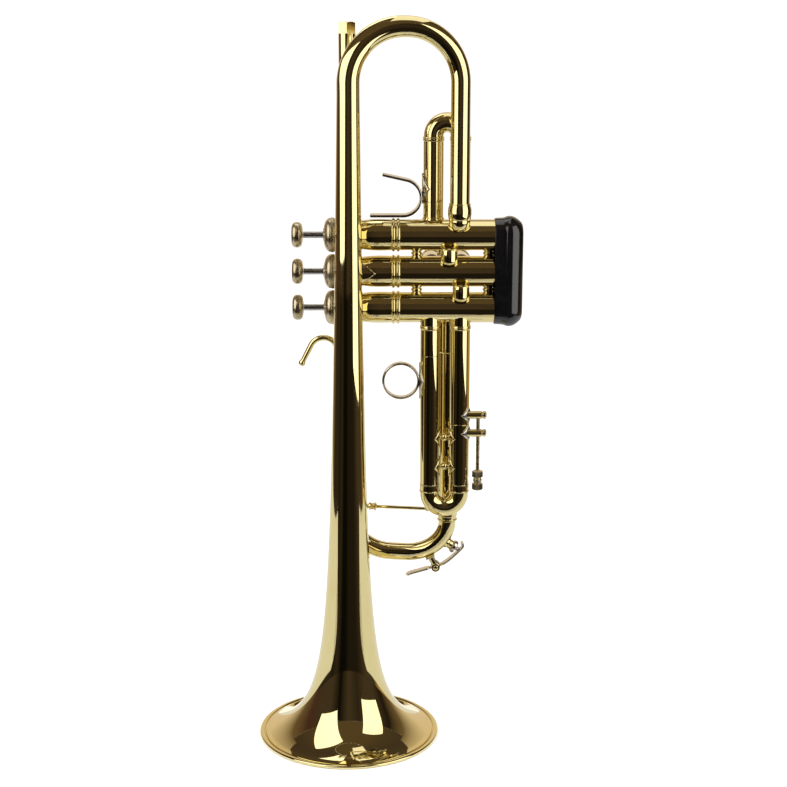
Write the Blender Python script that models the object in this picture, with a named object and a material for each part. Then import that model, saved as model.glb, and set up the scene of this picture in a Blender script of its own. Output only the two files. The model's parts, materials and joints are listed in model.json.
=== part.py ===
"""B-flat trumpet standing on its bell, as separate brass, nickel and rubber pieces.

Blender units are metres. The dimensions below are in millimetres and are scaled by MM
when a mesh is made. They are measured from the bell's axis and the plane of its rim:
+X runs from the finger buttons to the bottom caps, +Y from the bell tube to the leadpipe
and +Z up the bell. The parent empty moves that point so that the origin of the part is
the middle of its footprint, on the surface it stands on.
"""

from math import cos, pi, sin

import bmesh
import bpy
from mathutils import Matrix, Vector

MM = 0.001
GAP = 0.3  # clearance between neighbouring pieces
X, Y, Z = Vector((1, 0, 0)), Vector((0, 1, 0)), Vector((0, 0, 1))

# Bell: a tube that narrows steadily upwards, plus a flare that dies away above the rim.
RIM_R = 61.12
RIM_BEAD = (1.2, 1.75)  # half height and half width of the rolled edge
RIM_FLAT = 1.2  # worn flat on the rolled edge, which the bell stands on
BELL_WALL = 0.7
BELL_TUBE_R, BELL_TAPER = 9.5, 0.009
FLARE_A, FLARE_B, FLARE_N = 1010.0, 16.2, 1.053
FLARE_SEAM_Z = 112.0
BOW_SEAM_Z = 430.0
BELL_LEAN = 2.0  # shift of the bell tube's top towards +X
BELL_SIDES = 32

# Bell bow, from the bell tube over to the first valve.
BOW_END = Vector((73.3, 12.8, 0))
BOW_BEND_Z, BOW_BEND = 436.6, (35.0, 35.0)
BOW_TUBE_R = 6.2
BOW_FOOT_Z = 352.6

# Valve block: three casings side by side, with axes along +X.
VALVE_Y = 23.0
CASING_Z = (338.6, 314.6, 290.6)
CASING_R = 10.1
CASING_BORE_R = 8.75
CASING_X = (-7.0, 103.0)
CASING_BEADS_X = (30.4, 33.6)
CASING_SIDES = 16
STEM_R = 2.2
BUTTON_X = (-36.0, -28.8)
BUTTON_R = 8.3
VALVE_STROKE = 12.5
PISTON_R = 8.4
PISTON_X = (4.0, 84.0)
PISTON_WALL = 1.2
PISTON_FLOOR_X = (32.0, 33.5)
GUIDE_X = (29.2, 31.2)
GUARD_X = (96.5, 115.2)

# Slide tubing: sleeves run outside, inner tubes run inside them.
SLEEVE_R, SLEEVE_BORE_R = 6.55, 6.15
INNER_R, INNER_BORE_R = 5.85, 5.3
TUBE_SIDES = 12
FIRST_X, FIRST_Y = (56.5, 73.9), 27.0
FIRST_JOINT_Z, FIRST_BEND_Z = 360.3, 402.4
SECOND_X, SECOND_Z = (55.6, 75.0), 318.6
SECOND_JOINT_Y, SECOND_BEND_Y = 50.0, 50.6
THIRD_X, THIRD_Y = (54.8, 74.7), 21.0
THIRD_JOINT_Z = (262.0, 212.0)
THIRD_BEND_Z = 163.4
BRACE_DIAMOND = (7.2, 1.15)  # a flange's half length, and its half width as an angle
POST_DIAMOND = (5.2, 0.95)
TUNING_LOWER = Vector((67.4, 34.8, 0))
PIPE = Vector((0.3, 45.0, 0))
TUNING_JOINT_Z, TUNING_BEND_Z = 140.1, 139.4
TUNING_BEND = (29.0, 24.0)  # half width and depth of each corner of the crook
TUNING_CROOK_R = 6.0
PIPE_TOP_Z = 474.3

# Stop rod beside the third slide.
STOP_X, STOP_Y, STOP_END_X = 87.0, THIRD_Y - 3.3, 92.6
POST_TURN = 0.5  # angle of the post flanges, from facing +X towards -Y
STOP_POST_Z = (218.6, 206.2)
STOP_POST_R = 2.65
STOP_ROD_R = 1.35
STOP_ROD_Z = (166.2, 220.6)
STOP_NUT_Z = (167.0, 180.0)

# Water key on the tuning crook.
KEY_PIVOT_X, KEY_PIVOT_Z = 59.6, 106.3
KEY_CENTRE_X = 43.4
NIPPLE_ANGLE = 0.585  # below +X, round the key's centre
NIPPLE_FOOT, POST_FOOT = 29.3, 28.8  # from the key's centre to the crook's surface
NIPPLE_R, NIPPLE_LENGTH = 3.3, 3.6

# Extreme points of the part, for its origin.
SECOND_CROOK_R = 6.3
BACK_Y = SECOND_BEND_Y + (SECOND_X[1] - SECOND_X[0]) / 2 + SECOND_CROOK_R
ORIGIN = Vector(((GUARD_X[1] - RIM_R) / 2, (BACK_Y - RIM_R) / 2, 0))

MATERIALS = {
    "brass": ((0.83, 0.62, 0.24), 0.12, 1.0),
    "nickel": ((0.70, 0.66, 0.56), 0.25, 1.0),
    "steel": ((0.56, 0.56, 0.56), 0.25, 1.0),
    "rubber": ((0.01, 0.01, 0.012), 0.15, 0.0),
    "nylon": ((0.80, 0.79, 0.74), 0.5, 0.0),
}


# ---------------------------------------------------------------- objects


def make_material(name):
    colour, roughness, metallic = MATERIALS[name]
    material = bpy.data.materials.new(name)
    material.use_nodes = True
    shader = material.node_tree.nodes["Principled BSDF"]
    shader.inputs["Base Color"].default_value = (*colour, 1)
    shader.inputs["Roughness"].default_value = roughness
    shader.inputs["Metallic"].default_value = metallic
    return material


def add_object(name, bm, material="brass", pivot=Vector((0, 0, 0))):
    """Make an object from bm (millimetres), with its origin at pivot."""
    bmesh.ops.recalc_face_normals(bm, faces=bm.faces)
    bmesh.ops.translate(bm, vec=-pivot, verts=bm.verts)
    bmesh.ops.scale(bm, vec=(MM, MM, MM), verts=bm.verts)
    mesh = bpy.data.meshes.new(name)
    bm.to_mesh(mesh)
    bm.free()
    mesh.shade_smooth()
    mesh.set_sharp_from_angle(angle=0.6)
    mesh.materials.append(bpy.data.materials[material])
    obj = bpy.data.objects.new(name, mesh)
    obj.location = pivot * MM
    obj.parent = bpy.data.objects["trumpet"]
    bpy.context.scene.collection.objects.link(obj)
    return obj


def add_helper(name, bm):
    """Make a hidden operand for a Boolean."""
    obj = add_object(name, bm)
    obj.hide_render = True
    obj.display_type = "WIRE"
    return obj


def combine(obj, operation, helpers):
    for helper in helpers:
        modifier = obj.modifiers.new(operation.lower(), "BOOLEAN")
        modifier.operation = operation
        modifier.solver = "EXACT"
        modifier.object = helper
    return obj


# ---------------------------------------------------------------- shapes


def turned(profile, base, axis, sides, closed=False):
    """Spin a profile of (distance along axis, radius) points round axis through base."""
    bm = bmesh.new()
    radial = Y if abs(axis.dot(Y)) < 0.5 else X
    radial = (radial - axis * axis.dot(radial)).normalized()
    points = [bm.verts.new(base + axis * s + radial * r) for s, r in profile]
    edges = [bm.edges.new(pair) for pair in zip(points, points[1:])]
    if closed:
        edges.append(bm.edges.new((points[-1], points[0])))
    bmesh.ops.spin(
        bm, geom=points + edges, cent=base, axis=axis, angle=2 * pi, steps=sides, use_merge=True
    )
    bmesh.ops.remove_doubles(bm, verts=bm.verts, dist=1e-4)
    return bm


def skin(rings, closed):
    """Join rings of points into one surface, closed on itself or capped at its ends."""
    bm = bmesh.new()
    loops = [[bm.verts.new(point) for point in ring] for ring in rings]
    pairs = list(zip(loops, loops[1:]))
    if closed:
        pairs.append((loops[-1], loops[0]))
    for low, high in pairs:
        count = len(low)
        for i in range(count):
            j = (i + 1) % count
            bm.faces.new((low[i], low[j], high[j], high[i]))
    if not closed:
        bm.faces.new(loops[0])
        bm.faces.new(loops[-1])
    return bm


def sweep(path, outer, bore=None, sides=TUBE_SIDES, start=None):
    """Sweep a round section along a path of (point, tangent) pairs, hollow if bore is given."""
    side = start or path[0][1].orthogonal().normalized()
    frames = []
    previous = path[0][1]
    for point, tangent in path:
        side = previous.rotation_difference(tangent) @ side
        frames.append((point, side.copy(), tangent.cross(side)))
        previous = tangent

    def ring(frame, radius):
        point, u, v = frame
        steps = [2 * pi * (i + 0.5) / sides for i in range(sides)]
        return [point + (u * cos(a) + v * sin(a)) * radius for a in steps]

    rings = [ring(f, r) for f, r in zip(frames, outer)]
    if bore is None:
        return skin(rings, closed=False)
    rings += [ring(f, r) for f, r in reversed(list(zip(frames, bore)))]
    return skin(rings, closed=True)


def line(start, end):
    tangent = (end - start).normalized()
    return [(start, tangent), (end, tangent)]


def arc(centre, u, v, radius, first, last, steps):
    """Points and tangents on a circle, from angle first to last, u towards v."""
    turn = 1 if last > first else -1
    angles = [first + (last - first) * i / steps for i in range(steps + 1)]
    return [
        (centre + (u * cos(a) + v * sin(a)) * radius, (v * cos(a) - u * sin(a)).normalized() * turn)
        for a in angles
    ]


def u_path(a, b, out, leg_a, leg_b, corner=None, steps=6):
    """A U from leg a round to leg b, bulging along out. Legs list distances from the bend.
    corner is the half width and depth of each rounded corner, and None makes a half circle."""
    across = (b - a).normalized()
    half = (b - a).length / 2
    wide, deep = corner or (half, half)
    side = -across * wide / deep
    if corner is None:
        bend = arc(a + across * wide, side, out, deep, 0, pi, steps)
    else:
        bend = arc(a + across * wide, side, out, deep, 0, pi / 2, steps // 2)
        bend += arc(b - across * wide, side, out, deep, pi / 2, pi, steps // 2)
    path = [(a - out * s, out) for s in leg_a]
    path += bend
    path += [(b - out * s, -out) for s in leg_b]
    return path, len(bend)


def u_tube(a, b, out, leg_a, leg_b, crook, corner=None, steps=6):
    """A bent slide tube. Legs are (distance from bend, outer radius, bore radius) rows,
    listed in path order, and crook is the (outer, bore) pair of the bend."""
    path, bends = u_path(a, b, out, [s[0] for s in leg_a], [s[0] for s in leg_b], corner, steps)
    rows = [s[1:] for s in leg_a] + [crook] * bends + [s[1:] for s in leg_b]
    side = (b - a).cross(out).normalized()
    return sweep(path, [r[0] for r in rows], [r[1] for r in rows], start=side)


def diamond(centre, axis, facing, radius, half_length, half_angle, thickness=0.8):
    """A diamond flange wrapped on a tube of that radius, its points along and round axis."""
    around = axis.cross(facing)
    inner = radius + GAP + 0.15
    bm = bmesh.new()
    sides = []
    for r in (inner, inner + thickness):
        columns = []
        for step in (-2, -1, 0, 1, 2):
            angle = half_angle * step / 2
            middle = centre + (facing * cos(angle) + around * sin(angle)) * r
            reach = half_length * (1 - abs(step) / 2)
            heights = (-reach, reach) if reach else (0,)
            columns.append([bm.verts.new(middle + axis * h) for h in heights])
        sides.append(columns)
        for left, right in zip(columns, columns[1:]):
            bm.faces.new(left + right[::-1])
    low, high = ([c[0] for c in s] + [c[1] for c in s[3:0:-1]] for s in sides)
    for i in range(len(low)):
        j = (i + 1) % len(low)
        bm.faces.new((low[i], low[j], high[j], high[i]))
    return bm


def rod(start, end, radius, sides=8):
    return sweep(line(start, end), [radius, radius], sides=sides)


def block(low, high):
    bm = bmesh.new()
    bmesh.ops.create_cube(bm, size=1)
    size = high - low
    bmesh.ops.transform(
        bm, matrix=Matrix.Translation((low + high) / 2) @ Matrix.Diagonal((*size, 1)), verts=bm.verts
    )
    return bm


def cylinder(start, end, radius, sides=10):
    axis = (end - start).normalized()
    length = (end - start).length
    return turned([(0, 0), (0, radius), (length, radius), (length, 0)], start, axis, sides)


def strip_section(point, tangent, half_width, half_thick):
    """The four corners of a flat strip that lies across +Y."""
    up = tangent.cross(Y)
    corners = ((1, 1), (-1, 1), (-1, -1), (1, -1))
    return [point + Y * half_width * a + up * half_thick * b for a, b in corners]


def rounded_outline(x, half_y, half_z, corner, steps=4):
    """A rounded rectangle across the valve block at x."""
    centre = Vector((x, VALVE_Y, CASING_Z[1]))
    points = []
    for k, (sy, sz) in enumerate(((1, 1), (-1, 1), (-1, -1), (1, -1))):
        for i in range(steps + 1):
            a = pi / 2 * (k + i / steps)
            dy = sy * (half_y - corner) + corner * cos(a)
            dz = sz * (half_z - corner) + corner * sin(a)
            points.append(centre + Y * dy + Z * dz)
    return points


# ---------------------------------------------------------------- bell


def bell_radius(z):
    return BELL_TUBE_R - BELL_TAPER * z + FLARE_A / (z + FLARE_B) ** FLARE_N


def bell_lean(z):
    return X * (BELL_LEAN * z / BOW_SEAM_Z)


def build_bell_flare():
    heights = (FLARE_SEAM_Z, 84.0, 60.0, 43.0, 30.0, 20.0, 12.0, 6.5, 3.6)
    outer = [(z, bell_radius(z)) for z in heights]
    tall, wide = RIM_BEAD
    bead = RIM_R - wide
    turn = [pi * (0.7 - 0.3 * i) for i in range(4)]
    outer += [(tall * (1 + sin(a)), bead + wide * cos(a)) for a in turn]
    outer += [(0, bead + RIM_FLAT / 2), (0, bead - RIM_FLAT / 2)]
    inner = [(z - BELL_WALL, bell_radius(z)) for z in reversed(heights[5:])]
    inner += [(z, bell_radius(z) - BELL_WALL) for z in reversed(heights[:5])]
    bm = turned(outer + inner, Vector(), Z, BELL_SIDES, closed=True)
    for vert in bm.verts:
        vert.co += bell_lean(vert.co.z)
    add_object("bell_flare", bm)


def build_bell_tube():
    heights = (FLARE_SEAM_Z + GAP, 150.0, 200.0, 290.0, BOW_SEAM_Z - GAP)
    path = [(bell_lean(z) + Z * z, Z) for z in heights]
    radii = [bell_radius(z) for z in heights]
    bm = sweep(path, radii, [r - BELL_WALL for r in radii], sides=16, start=X)
    add_object("bell_tube", bm)


def build_bell_bow():
    a = Vector((BELL_LEAN, 0, BOW_BEND_Z))
    b = BOW_END + Z * BOW_BEND_Z
    legs = [BOW_BEND_Z - BOW_SEAM_Z], [BOW_BEND_Z - BOW_FOOT_Z]
    path, bends = u_path(a, b, Z, *legs, BOW_BEND, steps=10)
    start_r = bell_radius(BOW_SEAM_Z)
    radii = [start_r] + [start_r + (BOW_TUBE_R - start_r) * i / (bends - 1) for i in range(bends)]
    radii.append(BOW_TUBE_R)
    bm = sweep(path, radii, [r - BELL_WALL for r in radii], start=(b - a).cross(Z).normalized())
    add_object("bell_bow", bm)


def ball_ferrule(name, base, axis, mouth, casing):
    """A cup that joins a tube to the side of a casing: ball end at base, mouth along axis."""
    ball, ball_r = 8.0, 6.9
    bore = BOW_TUBE_R + GAP
    arc_steps = [pi / 2 * i / 3 for i in range(4)]
    outer = [(ball - ball * cos(a), ball_r * sin(a)) for a in arc_steps]
    outer += [(9.1, 7.0), (12.0, 7.65), (15.0, 7.65), (mouth - 1.5, 7.0), (mouth, 7.0)]
    inner = [(mouth, bore), (ball + 3.6, bore), (ball + 3.6, bore - 1.2)]
    inner += [(ball + 0.4, bore - 1.2), (3.4, 3.2), (1.8, 0)]
    obj = add_object(name, turned(outer + inner, base, axis, TUBE_SIDES))
    combine(obj, "DIFFERENCE", [bpy.data.objects[f"casing_cut_{casing}"]])


def build_bell_ferrule():
    ball_ferrule("bell_ferrule", BOW_END + Z * 341.0, Z, 19.4, 1)


# ---------------------------------------------------------------- valves


def casing_axis(n):
    return Vector((0, VALVE_Y, CASING_Z[n - 1]))


def build_casing_cutters():
    for n in (1, 2, 3):
        base = casing_axis(n)
        ends = (CASING_X[0] - 5, CASING_X[1] + 5)
        bm = cylinder(base + X * ends[0], base + X * ends[1], CASING_R + GAP, CASING_SIDES)
        add_helper(f"casing_cut_{n}", bm)


def build_ports():
    """Hidden cylinders that open a casing's wall where a tube enters it."""
    first, second, third = (casing_axis(n) for n in (1, 2, 3))
    r = 4.6
    ports = {
        1: [(Vector((x, VALVE_Y + 2, first.z)), Z * 15) for x in FIRST_X],
        2: [(Vector((x, VALVE_Y, second.z)), Y * 15) for x in SECOND_X],
        3: [(Vector((x, VALVE_Y - 1, third.z)), -Z * 15) for x in THIRD_X],
    }
    return {
        n: [
            add_helper(f"port_{n}_{i}", cylinder(start, start + reach, r, 8))
            for i, (start, reach) in enumerate(rows)
        ]
        for n, rows in ports.items()
    }


def build_casing(n, ports):
    low, high = CASING_X
    bead, half = 0.9, 1.4
    outer = [(low, CASING_R)]
    for x in CASING_BEADS_X:
        outer += [(x - half, CASING_R), (x, CASING_R + bead), (x + half, CASING_R)]
    profile = outer + [(high, CASING_R), (high, CASING_BORE_R), (low, CASING_BORE_R)]
    obj = add_object(f"casing_{n}", turned(profile, casing_axis(n), X, CASING_SIDES, closed=True))
    combine(obj, "DIFFERENCE", ports)


def build_caps(n):
    hole = STEM_R + 0.45
    top = [(-15.4, hole), (-15.4, 4.0), (-14.2, 7.8), (-12.9, 9.8), (-10.4, 11.3)]
    top += [(-8.4, 11.35), (-7.6, 10.8), (-4.6, 10.8), (-4.6, CASING_R + GAP)]
    top += [(-7.3, CASING_R + GAP), (-11.8, 8.0), (-13.4, hole)]
    add_object(f"top_cap_{n}", turned(top, casing_axis(n), X, CASING_SIDES, closed=True), "nickel")
    edge = CASING_X[1] + GAP
    spigot = CASING_BORE_R - GAP
    bottom = [(97.5, spigot), (97.5, 7.2), (edge + 1.0, 7.2), (edge + 1.0, 2.0)]
    bottom += [(107.2, 2.0), (107.2, 6.0), (109.4, 8.0), (109.4, 9.3), (108.7, CASING_R)]
    bottom += [(edge, CASING_R), (edge, spigot)]
    add_object(f"bottom_cap_{n}", turned(bottom, casing_axis(n), X, 12, closed=True))


def build_valve(n):
    base = casing_axis(n)
    stem_end = BUTTON_X[1] + GAP
    low, high = PISTON_X
    inside = PISTON_R - PISTON_WALL
    profile = [(stem_end, 0), (stem_end, STEM_R), (low, STEM_R), (low, PISTON_R), (high, PISTON_R)]
    profile += [(high, inside), (PISTON_FLOOR_X[1], inside), (PISTON_FLOOR_X[1], 0)]
    piston = add_object(f"piston_{n}", turned(profile, base, X, 12), "steel", base)
    barrel = cylinder(base + X * (low + 1.5), base + X * PISTON_FLOOR_X[0], inside, 12)
    slot_low = Vector((GUIDE_X[0] - VALVE_STROKE - 0.7, -1.9, -12))
    slot = block(base + slot_low, base + Vector((GUIDE_X[1] + 0.6, 1.9, 12)))
    helpers = [add_helper(f"barrel_{n}", barrel), add_helper(f"slot_{n}", slot)]
    for i, x in enumerate((46.0, 66.0)):
        port = cylinder(base + Vector((x, 0, -12)), base + Vector((x, 0, 12)), 4.6, 6)
        helpers.append(add_helper(f"piston_port_{n}_{i}", port))
    combine(piston, "DIFFERENCE", helpers)

    low, high = BUTTON_X
    button = [(low, 0), (low, 5.0), (low + 0.9, 7.2), (low + 2.7, BUTTON_R), (high - 2.9, BUTTON_R)]
    button += [(high - 0.9, 7.0), (high, 4.8), (high, 0)]
    add_object(f"button_{n}", turned(button, base, X, 14), "nickel", base)

    low, high = GUIDE_X
    guide = block(base + Vector((low, -1.5, -8.2)), base + Vector((high, 1.5, 8.2)))
    add_object(f"valve_guide_{n}", guide, "nylon")
    build_spring(n, base)


def build_spring(n, base):
    """The return spring, between the top of the piston's barrel and its fixed guide."""
    low, high = PISTON_X[0] + 2.6, GUIDE_X[0] - 1.0
    coil_r, wire_r, turns, per_turn = 5.6, 0.5, 5, 6
    count = turns * per_turn
    path = []
    for i in range(count + 1):
        a = 2 * pi * i / per_turn
        point = base + X * (low + (high - low) * i / count)
        point += (Y * cos(a) + Z * sin(a)) * coil_r
        rise = X * (high - low) / (2 * pi * turns * coil_r)
        path.append((point, (Z * cos(a) - Y * sin(a) + rise).normalized()))
    bm = sweep(path, [wire_r] * len(path), sides=4)
    add_object(f"valve_spring_{n}", bm, "steel")


def build_guard():
    """A rubber boot over the three bottom caps, with a raised lip and one open pocket."""
    low, high = GUARD_X
    pocket = CASING_R + GAP
    half = CASING_Z[0] - CASING_Z[1] + pocket
    lip_x, floor_x = 106.4, 110.6
    outer = [(high, -5.0), (high - 1.0, -2.1), (high - 3.0, -0.4), (lip_x + 3.4, 0.9)]
    outer += [(lip_x + 1.2, 1.9), (lip_x - 1.4, 1.9), (lip_x - 3.6, 0.9), (low, 0.6)]
    rings = [rounded_outline(x, pocket + d, half + d, pocket - 1.5 + d) for x, d in outer]
    rings += [rounded_outline(x, pocket, half, pocket - 0.02) for x in (low, floor_x)]
    add_object("valve_guard", skin(rings, closed=False), "rubber")


def build_balusters():
    for upper, lower in ((1, 2), (2, 3)):
        middle = (casing_axis(upper) + casing_axis(lower)) / 2
        for place, x in (("inner", 45.7), ("outer", 92.8)):
            half = [(2.8, 0), (2.8, 3.3), (1.5, 3.3), (0.9, 2.6), (0.45, 3.3)]
            profile = half + [(-s, r) for s, r in reversed(half)]
            name = f"baluster_{upper}{lower}_{place}"
            obj = add_object(name, turned(profile, middle + X * x, Z, 10))
            cutters = [bpy.data.objects[f"casing_cut_{n}"] for n in (upper, lower)]
            combine(obj, "DIFFERENCE", cutters)


def build_knuckles():
    """The two short passages between neighbouring casings, on the bell's side."""
    for upper, lower, x in ((1, 2, 66.7), (2, 3, 74.6)):
        middle = (casing_axis(upper) + casing_axis(lower)) / 2
        base = Vector((x, VALVE_Y - 8.6, middle.z - 0.8))
        half, r, dome = 5.9, 5.6, 3.0
        end = [(half - dome + dome * cos(a), r - dome + dome * sin(a)) for a in (0, pi / 4, pi / 2)]
        profile = [(half, 0)] + end + [(-s, q) for s, q in reversed(end)] + [(-half, 0)]
        obj = add_object(f"knuckle_{upper}{lower}", turned(profile, base, Z, TUBE_SIDES))
        inside = cylinder(base - Z * (half - 1.2), base + Z * (half - 1.2), r - 1.0, 8)
        cutters = [bpy.data.objects[f"casing_cut_{n}"] for n in (upper, lower)]
        cutters.append(add_helper(f"knuckle_bore_{upper}{lower}", inside))
        combine(obj, "DIFFERENCE", cutters)


# ---------------------------------------------------------------- valve slides


def build_first_slide():
    for i, x in enumerate(FIRST_X, 1):
        foot = Vector((x, FIRST_Y, casing_axis(1).z))
        joint = FIRST_JOINT_Z - GAP - foot.z
        top = FIRST_BEND_Z - 4.0 - foot.z
        profile = [(2.4, SLEEVE_R), (joint, SLEEVE_R), (joint, INNER_R), (top, INNER_R)]
        profile += [(top, INNER_BORE_R), (2.4, INNER_BORE_R)]
        tube = add_object(f"first_slide_tube_{i}", turned(profile, foot, Z, TUBE_SIDES, closed=True))
        combine(tube, "DIFFERENCE", [bpy.data.objects["casing_cut_1"]])
    a, b = (Vector((x, FIRST_Y, FIRST_BEND_Z)) for x in FIRST_X)
    length = FIRST_BEND_Z - FIRST_JOINT_Z
    leg = [(length, SLEEVE_R, SLEEVE_BORE_R), (3.0, SLEEVE_R, SLEEVE_BORE_R)]
    leg += [(2.6, 7.1, SLEEVE_BORE_R), (0.8, 7.1, INNER_BORE_R), (0.4, 6.4, INNER_BORE_R)]
    bm = u_tube(a, b, Z, leg, leg[::-1], (6.4, INNER_BORE_R))
    add_object("first_slide_crook", bm, pivot=a)


def build_thumb_saddle():
    """A bent strip for the thumb, on a diamond flange soldered to the first slide."""
    centre = Vector((36.7, FIRST_Y, 362.6))
    bend_r, thick, half_width = 11.7, 0.95, 5.5
    path = [(centre + Vector((-21.6, 0, -bend_r)), X)]
    path += arc(centre, X, Z, bend_r, -pi / 2, pi * 0.43, 8)
    tangent = path[-1][1]
    path.append((path[-1][0] + tangent * 16.4, tangent))
    rings = [strip_section(point, tangent, half_width, thick) for point, tangent in path]
    saddle = add_object("thumb_saddle", skin(rings, closed=False), "nickel", centre)
    leg = Vector((FIRST_X[0], FIRST_Y, 0))
    flange = diamond(leg + Z * 368.5, Z, -X, SLEEVE_R, 10.0, 1.2, thickness=1.0)
    combine(saddle, "UNION", [add_helper("saddle_flange", flange)])


def build_second_slide():
    for i, x in enumerate(SECOND_X, 1):
        foot = Vector((x, VALVE_Y, SECOND_Z))
        end = SECOND_JOINT_Y - VALVE_Y
        profile = [(5.0, SLEEVE_R), (end - 2, SLEEVE_R), (end - 2, 7.1), (end, 7.1)]
        profile += [(end, SLEEVE_BORE_R), (5.0, SLEEVE_BORE_R)]
        tube = add_object(f"second_slide_tube_{i}", turned(profile, foot, Y, TUBE_SIDES, closed=True))
        combine(tube, "DIFFERENCE", [bpy.data.objects["casing_cut_2"]])
    a, b = (Vector((x, SECOND_BEND_Y, SECOND_Z)) for x in SECOND_X)
    leg = [(15.0, INNER_R, INNER_BORE_R), (0.3, INNER_R, INNER_BORE_R)]
    leg += [(0.25, SECOND_CROOK_R, INNER_BORE_R)]
    bm = u_tube(a, b, Y, leg, leg[::-1], (SECOND_CROOK_R, INNER_BORE_R))
    add_object("second_slide_crook", bm, pivot=a)


def build_third_slide():
    z = CASING_Z[2]
    low = z - 2.4
    upper, lower = (Vector((x, THIRD_Y, 0)) for x in THIRD_X)
    ring_z, ring_r = (278.0, 280.2), 7.0
    collar = [(ring_z[1], SLEEVE_R), (ring_z[1] - 0.3, ring_r)]
    collar += [(ring_z[0], ring_r), (ring_z[0] - 0.3, SLEEVE_R)]
    joint = THIRD_JOINT_Z[0] + GAP
    profile = [(low, SLEEVE_R)] + collar + [(joint, SLEEVE_R), (joint, INNER_R), (188.0, INNER_R)]
    profile += [(188.0, INNER_BORE_R), (low, INNER_BORE_R)]
    tube = add_object("third_slide_inner_tube", turned(profile, upper, Z, TUBE_SIDES, closed=True))
    combine(tube, "DIFFERENCE", [bpy.data.objects["casing_cut_3"]])
    joint = THIRD_JOINT_Z[1] + GAP
    profile = [(low, SLEEVE_R)] + collar
    profile += [(joint, SLEEVE_R), (joint, SLEEVE_BORE_R), (low, SLEEVE_BORE_R)]
    tube = add_object("third_slide_outer_tube", turned(profile, lower, Z, TUBE_SIDES, closed=True))
    combine(tube, "DIFFERENCE", [bpy.data.objects["casing_cut_3"]])

    a, b = upper + Z * THIRD_BEND_Z, lower + Z * THIRD_BEND_Z
    crook_r = 6.35
    ring = [(6.0, SLEEVE_R), (5.6, 6.9), (3.0, 6.9), (2.6, crook_r)]
    leg_a = [(THIRD_JOINT_Z[0] - THIRD_BEND_Z, SLEEVE_R, SLEEVE_BORE_R)]
    leg_a += [(s, r, SLEEVE_BORE_R if s > 5 else INNER_BORE_R) for s, r in ring]
    step = THIRD_JOINT_Z[1] - THIRD_BEND_Z
    leg_b = [(s, r, INNER_BORE_R) for s, r in reversed(ring)]
    leg_b += [(step, SLEEVE_R, INNER_BORE_R), (step + 0.05, INNER_R, INNER_BORE_R)]
    leg_b += [(276.0 - THIRD_BEND_Z, INNER_R, INNER_BORE_R)]
    bm = u_tube(a, b, -Z, leg_a, leg_b, (crook_r, INNER_BORE_R))
    add_object("third_slide_crook", bm, pivot=a)

    for i, height in enumerate((202.6, 182.4), 1):
        middle = (upper + lower) / 2 + Z * height
        reach = (lower.x - upper.x) / 2 - SLEEVE_R - 0.6
        half = [(reach, 0), (reach, 1.3), (2.4, 1.2), (1.8, 2.2), (0.7, 2.8)]
        profile = half + [(-s, r) for s, r in reversed(half)]
        brace = add_object(f"third_slide_brace_{i}", turned(profile, middle, X, 8), "nickel", middle)
        flanges = [
            diamond(leg + Z * height, Z, facing, SLEEVE_R, *BRACE_DIAMOND)
            for leg, facing in ((upper, X), (lower, -X))
        ]
        helpers = [add_helper(f"brace_flange_{i}_{k}", f) for k, f in enumerate(flanges)]
        combine(brace, "UNION", helpers)


def build_finger_ring():
    centre = Vector((35.4, THIRD_Y, 241.5))
    outer_r, band, half_width = 12.5, 1.5, 3.0
    flank = half_width - 0.8
    profile = [(-half_width, outer_r - 0.6), (-flank, outer_r), (flank, outer_r)]
    profile += [(half_width, outer_r - 0.6), (half_width, outer_r - band), (-half_width, outer_r - band)]
    ring = add_object("finger_ring", turned(profile, centre, Y, 16, closed=True), "nickel", centre)
    leg = Vector((THIRD_X[0], THIRD_Y, centre.z))
    flange = diamond(leg, Z, -X, SLEEVE_R, 12.6, 0.85, thickness=1.0)
    combine(ring, "UNION", [add_helper("ring_flange", flange)])


def build_stop():
    """The rod that limits the third slide: a fixed post, a post on the slide and lock nuts."""
    leg = Vector((THIRD_X[1], THIRD_Y, 0))
    facing = X * cos(POST_TURN) - Y * sin(POST_TURN)
    base = Vector((STOP_X, STOP_Y, 0))
    bore = add_helper("stop_bore", cylinder(base + Z * 190, base + Z * 230, STOP_ROD_R + 0.35, 8))
    saddle = cylinder(leg + Z * 190, leg + Z * 230, SLEEVE_R + 0.7, TUBE_SIDES)
    saddle = add_helper("stop_saddle", saddle)
    for name, z in zip(("stop_post_fixed", "stop_post_sliding"), STOP_POST_Z):
        start = Vector((leg.x + 3.0, STOP_Y, z))
        length = STOP_END_X - start.x
        r = STOP_POST_R
        profile = [(0, 0), (0, r), (length - 0.8, r), (length, 1.7), (length, 0)]
        post = add_object(name, turned(profile, start, X, 10), pivot=start)
        combine(post, "DIFFERENCE", [bore, saddle])
        flange = diamond(leg + Z * z, Z, facing, SLEEVE_R, *POST_DIAMOND)
        combine(post, "UNION", [add_helper(f"{name}_flange", flange)])
    low, high = STOP_ROD_Z
    add_object("stop_rod", rod(base + Z * low, base + Z * high, STOP_ROD_R), "nickel")
    low, high = STOP_NUT_Z
    waist = (low + high) / 2
    nut = [(low, 2.6), (low + 1.2, 3.7), (waist - 0.8, 3.7), (waist, 3.0), (waist + 0.8, 3.7)]
    nut += [(high - 1.2, 3.7), (high, 2.6), (high, STOP_ROD_R + GAP), (low, STOP_ROD_R + GAP)]
    add_object("stop_nut", turned(nut, base, Z, 10, closed=True), "nickel")


# ---------------------------------------------------------------- leadpipe and tuning slide


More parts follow.
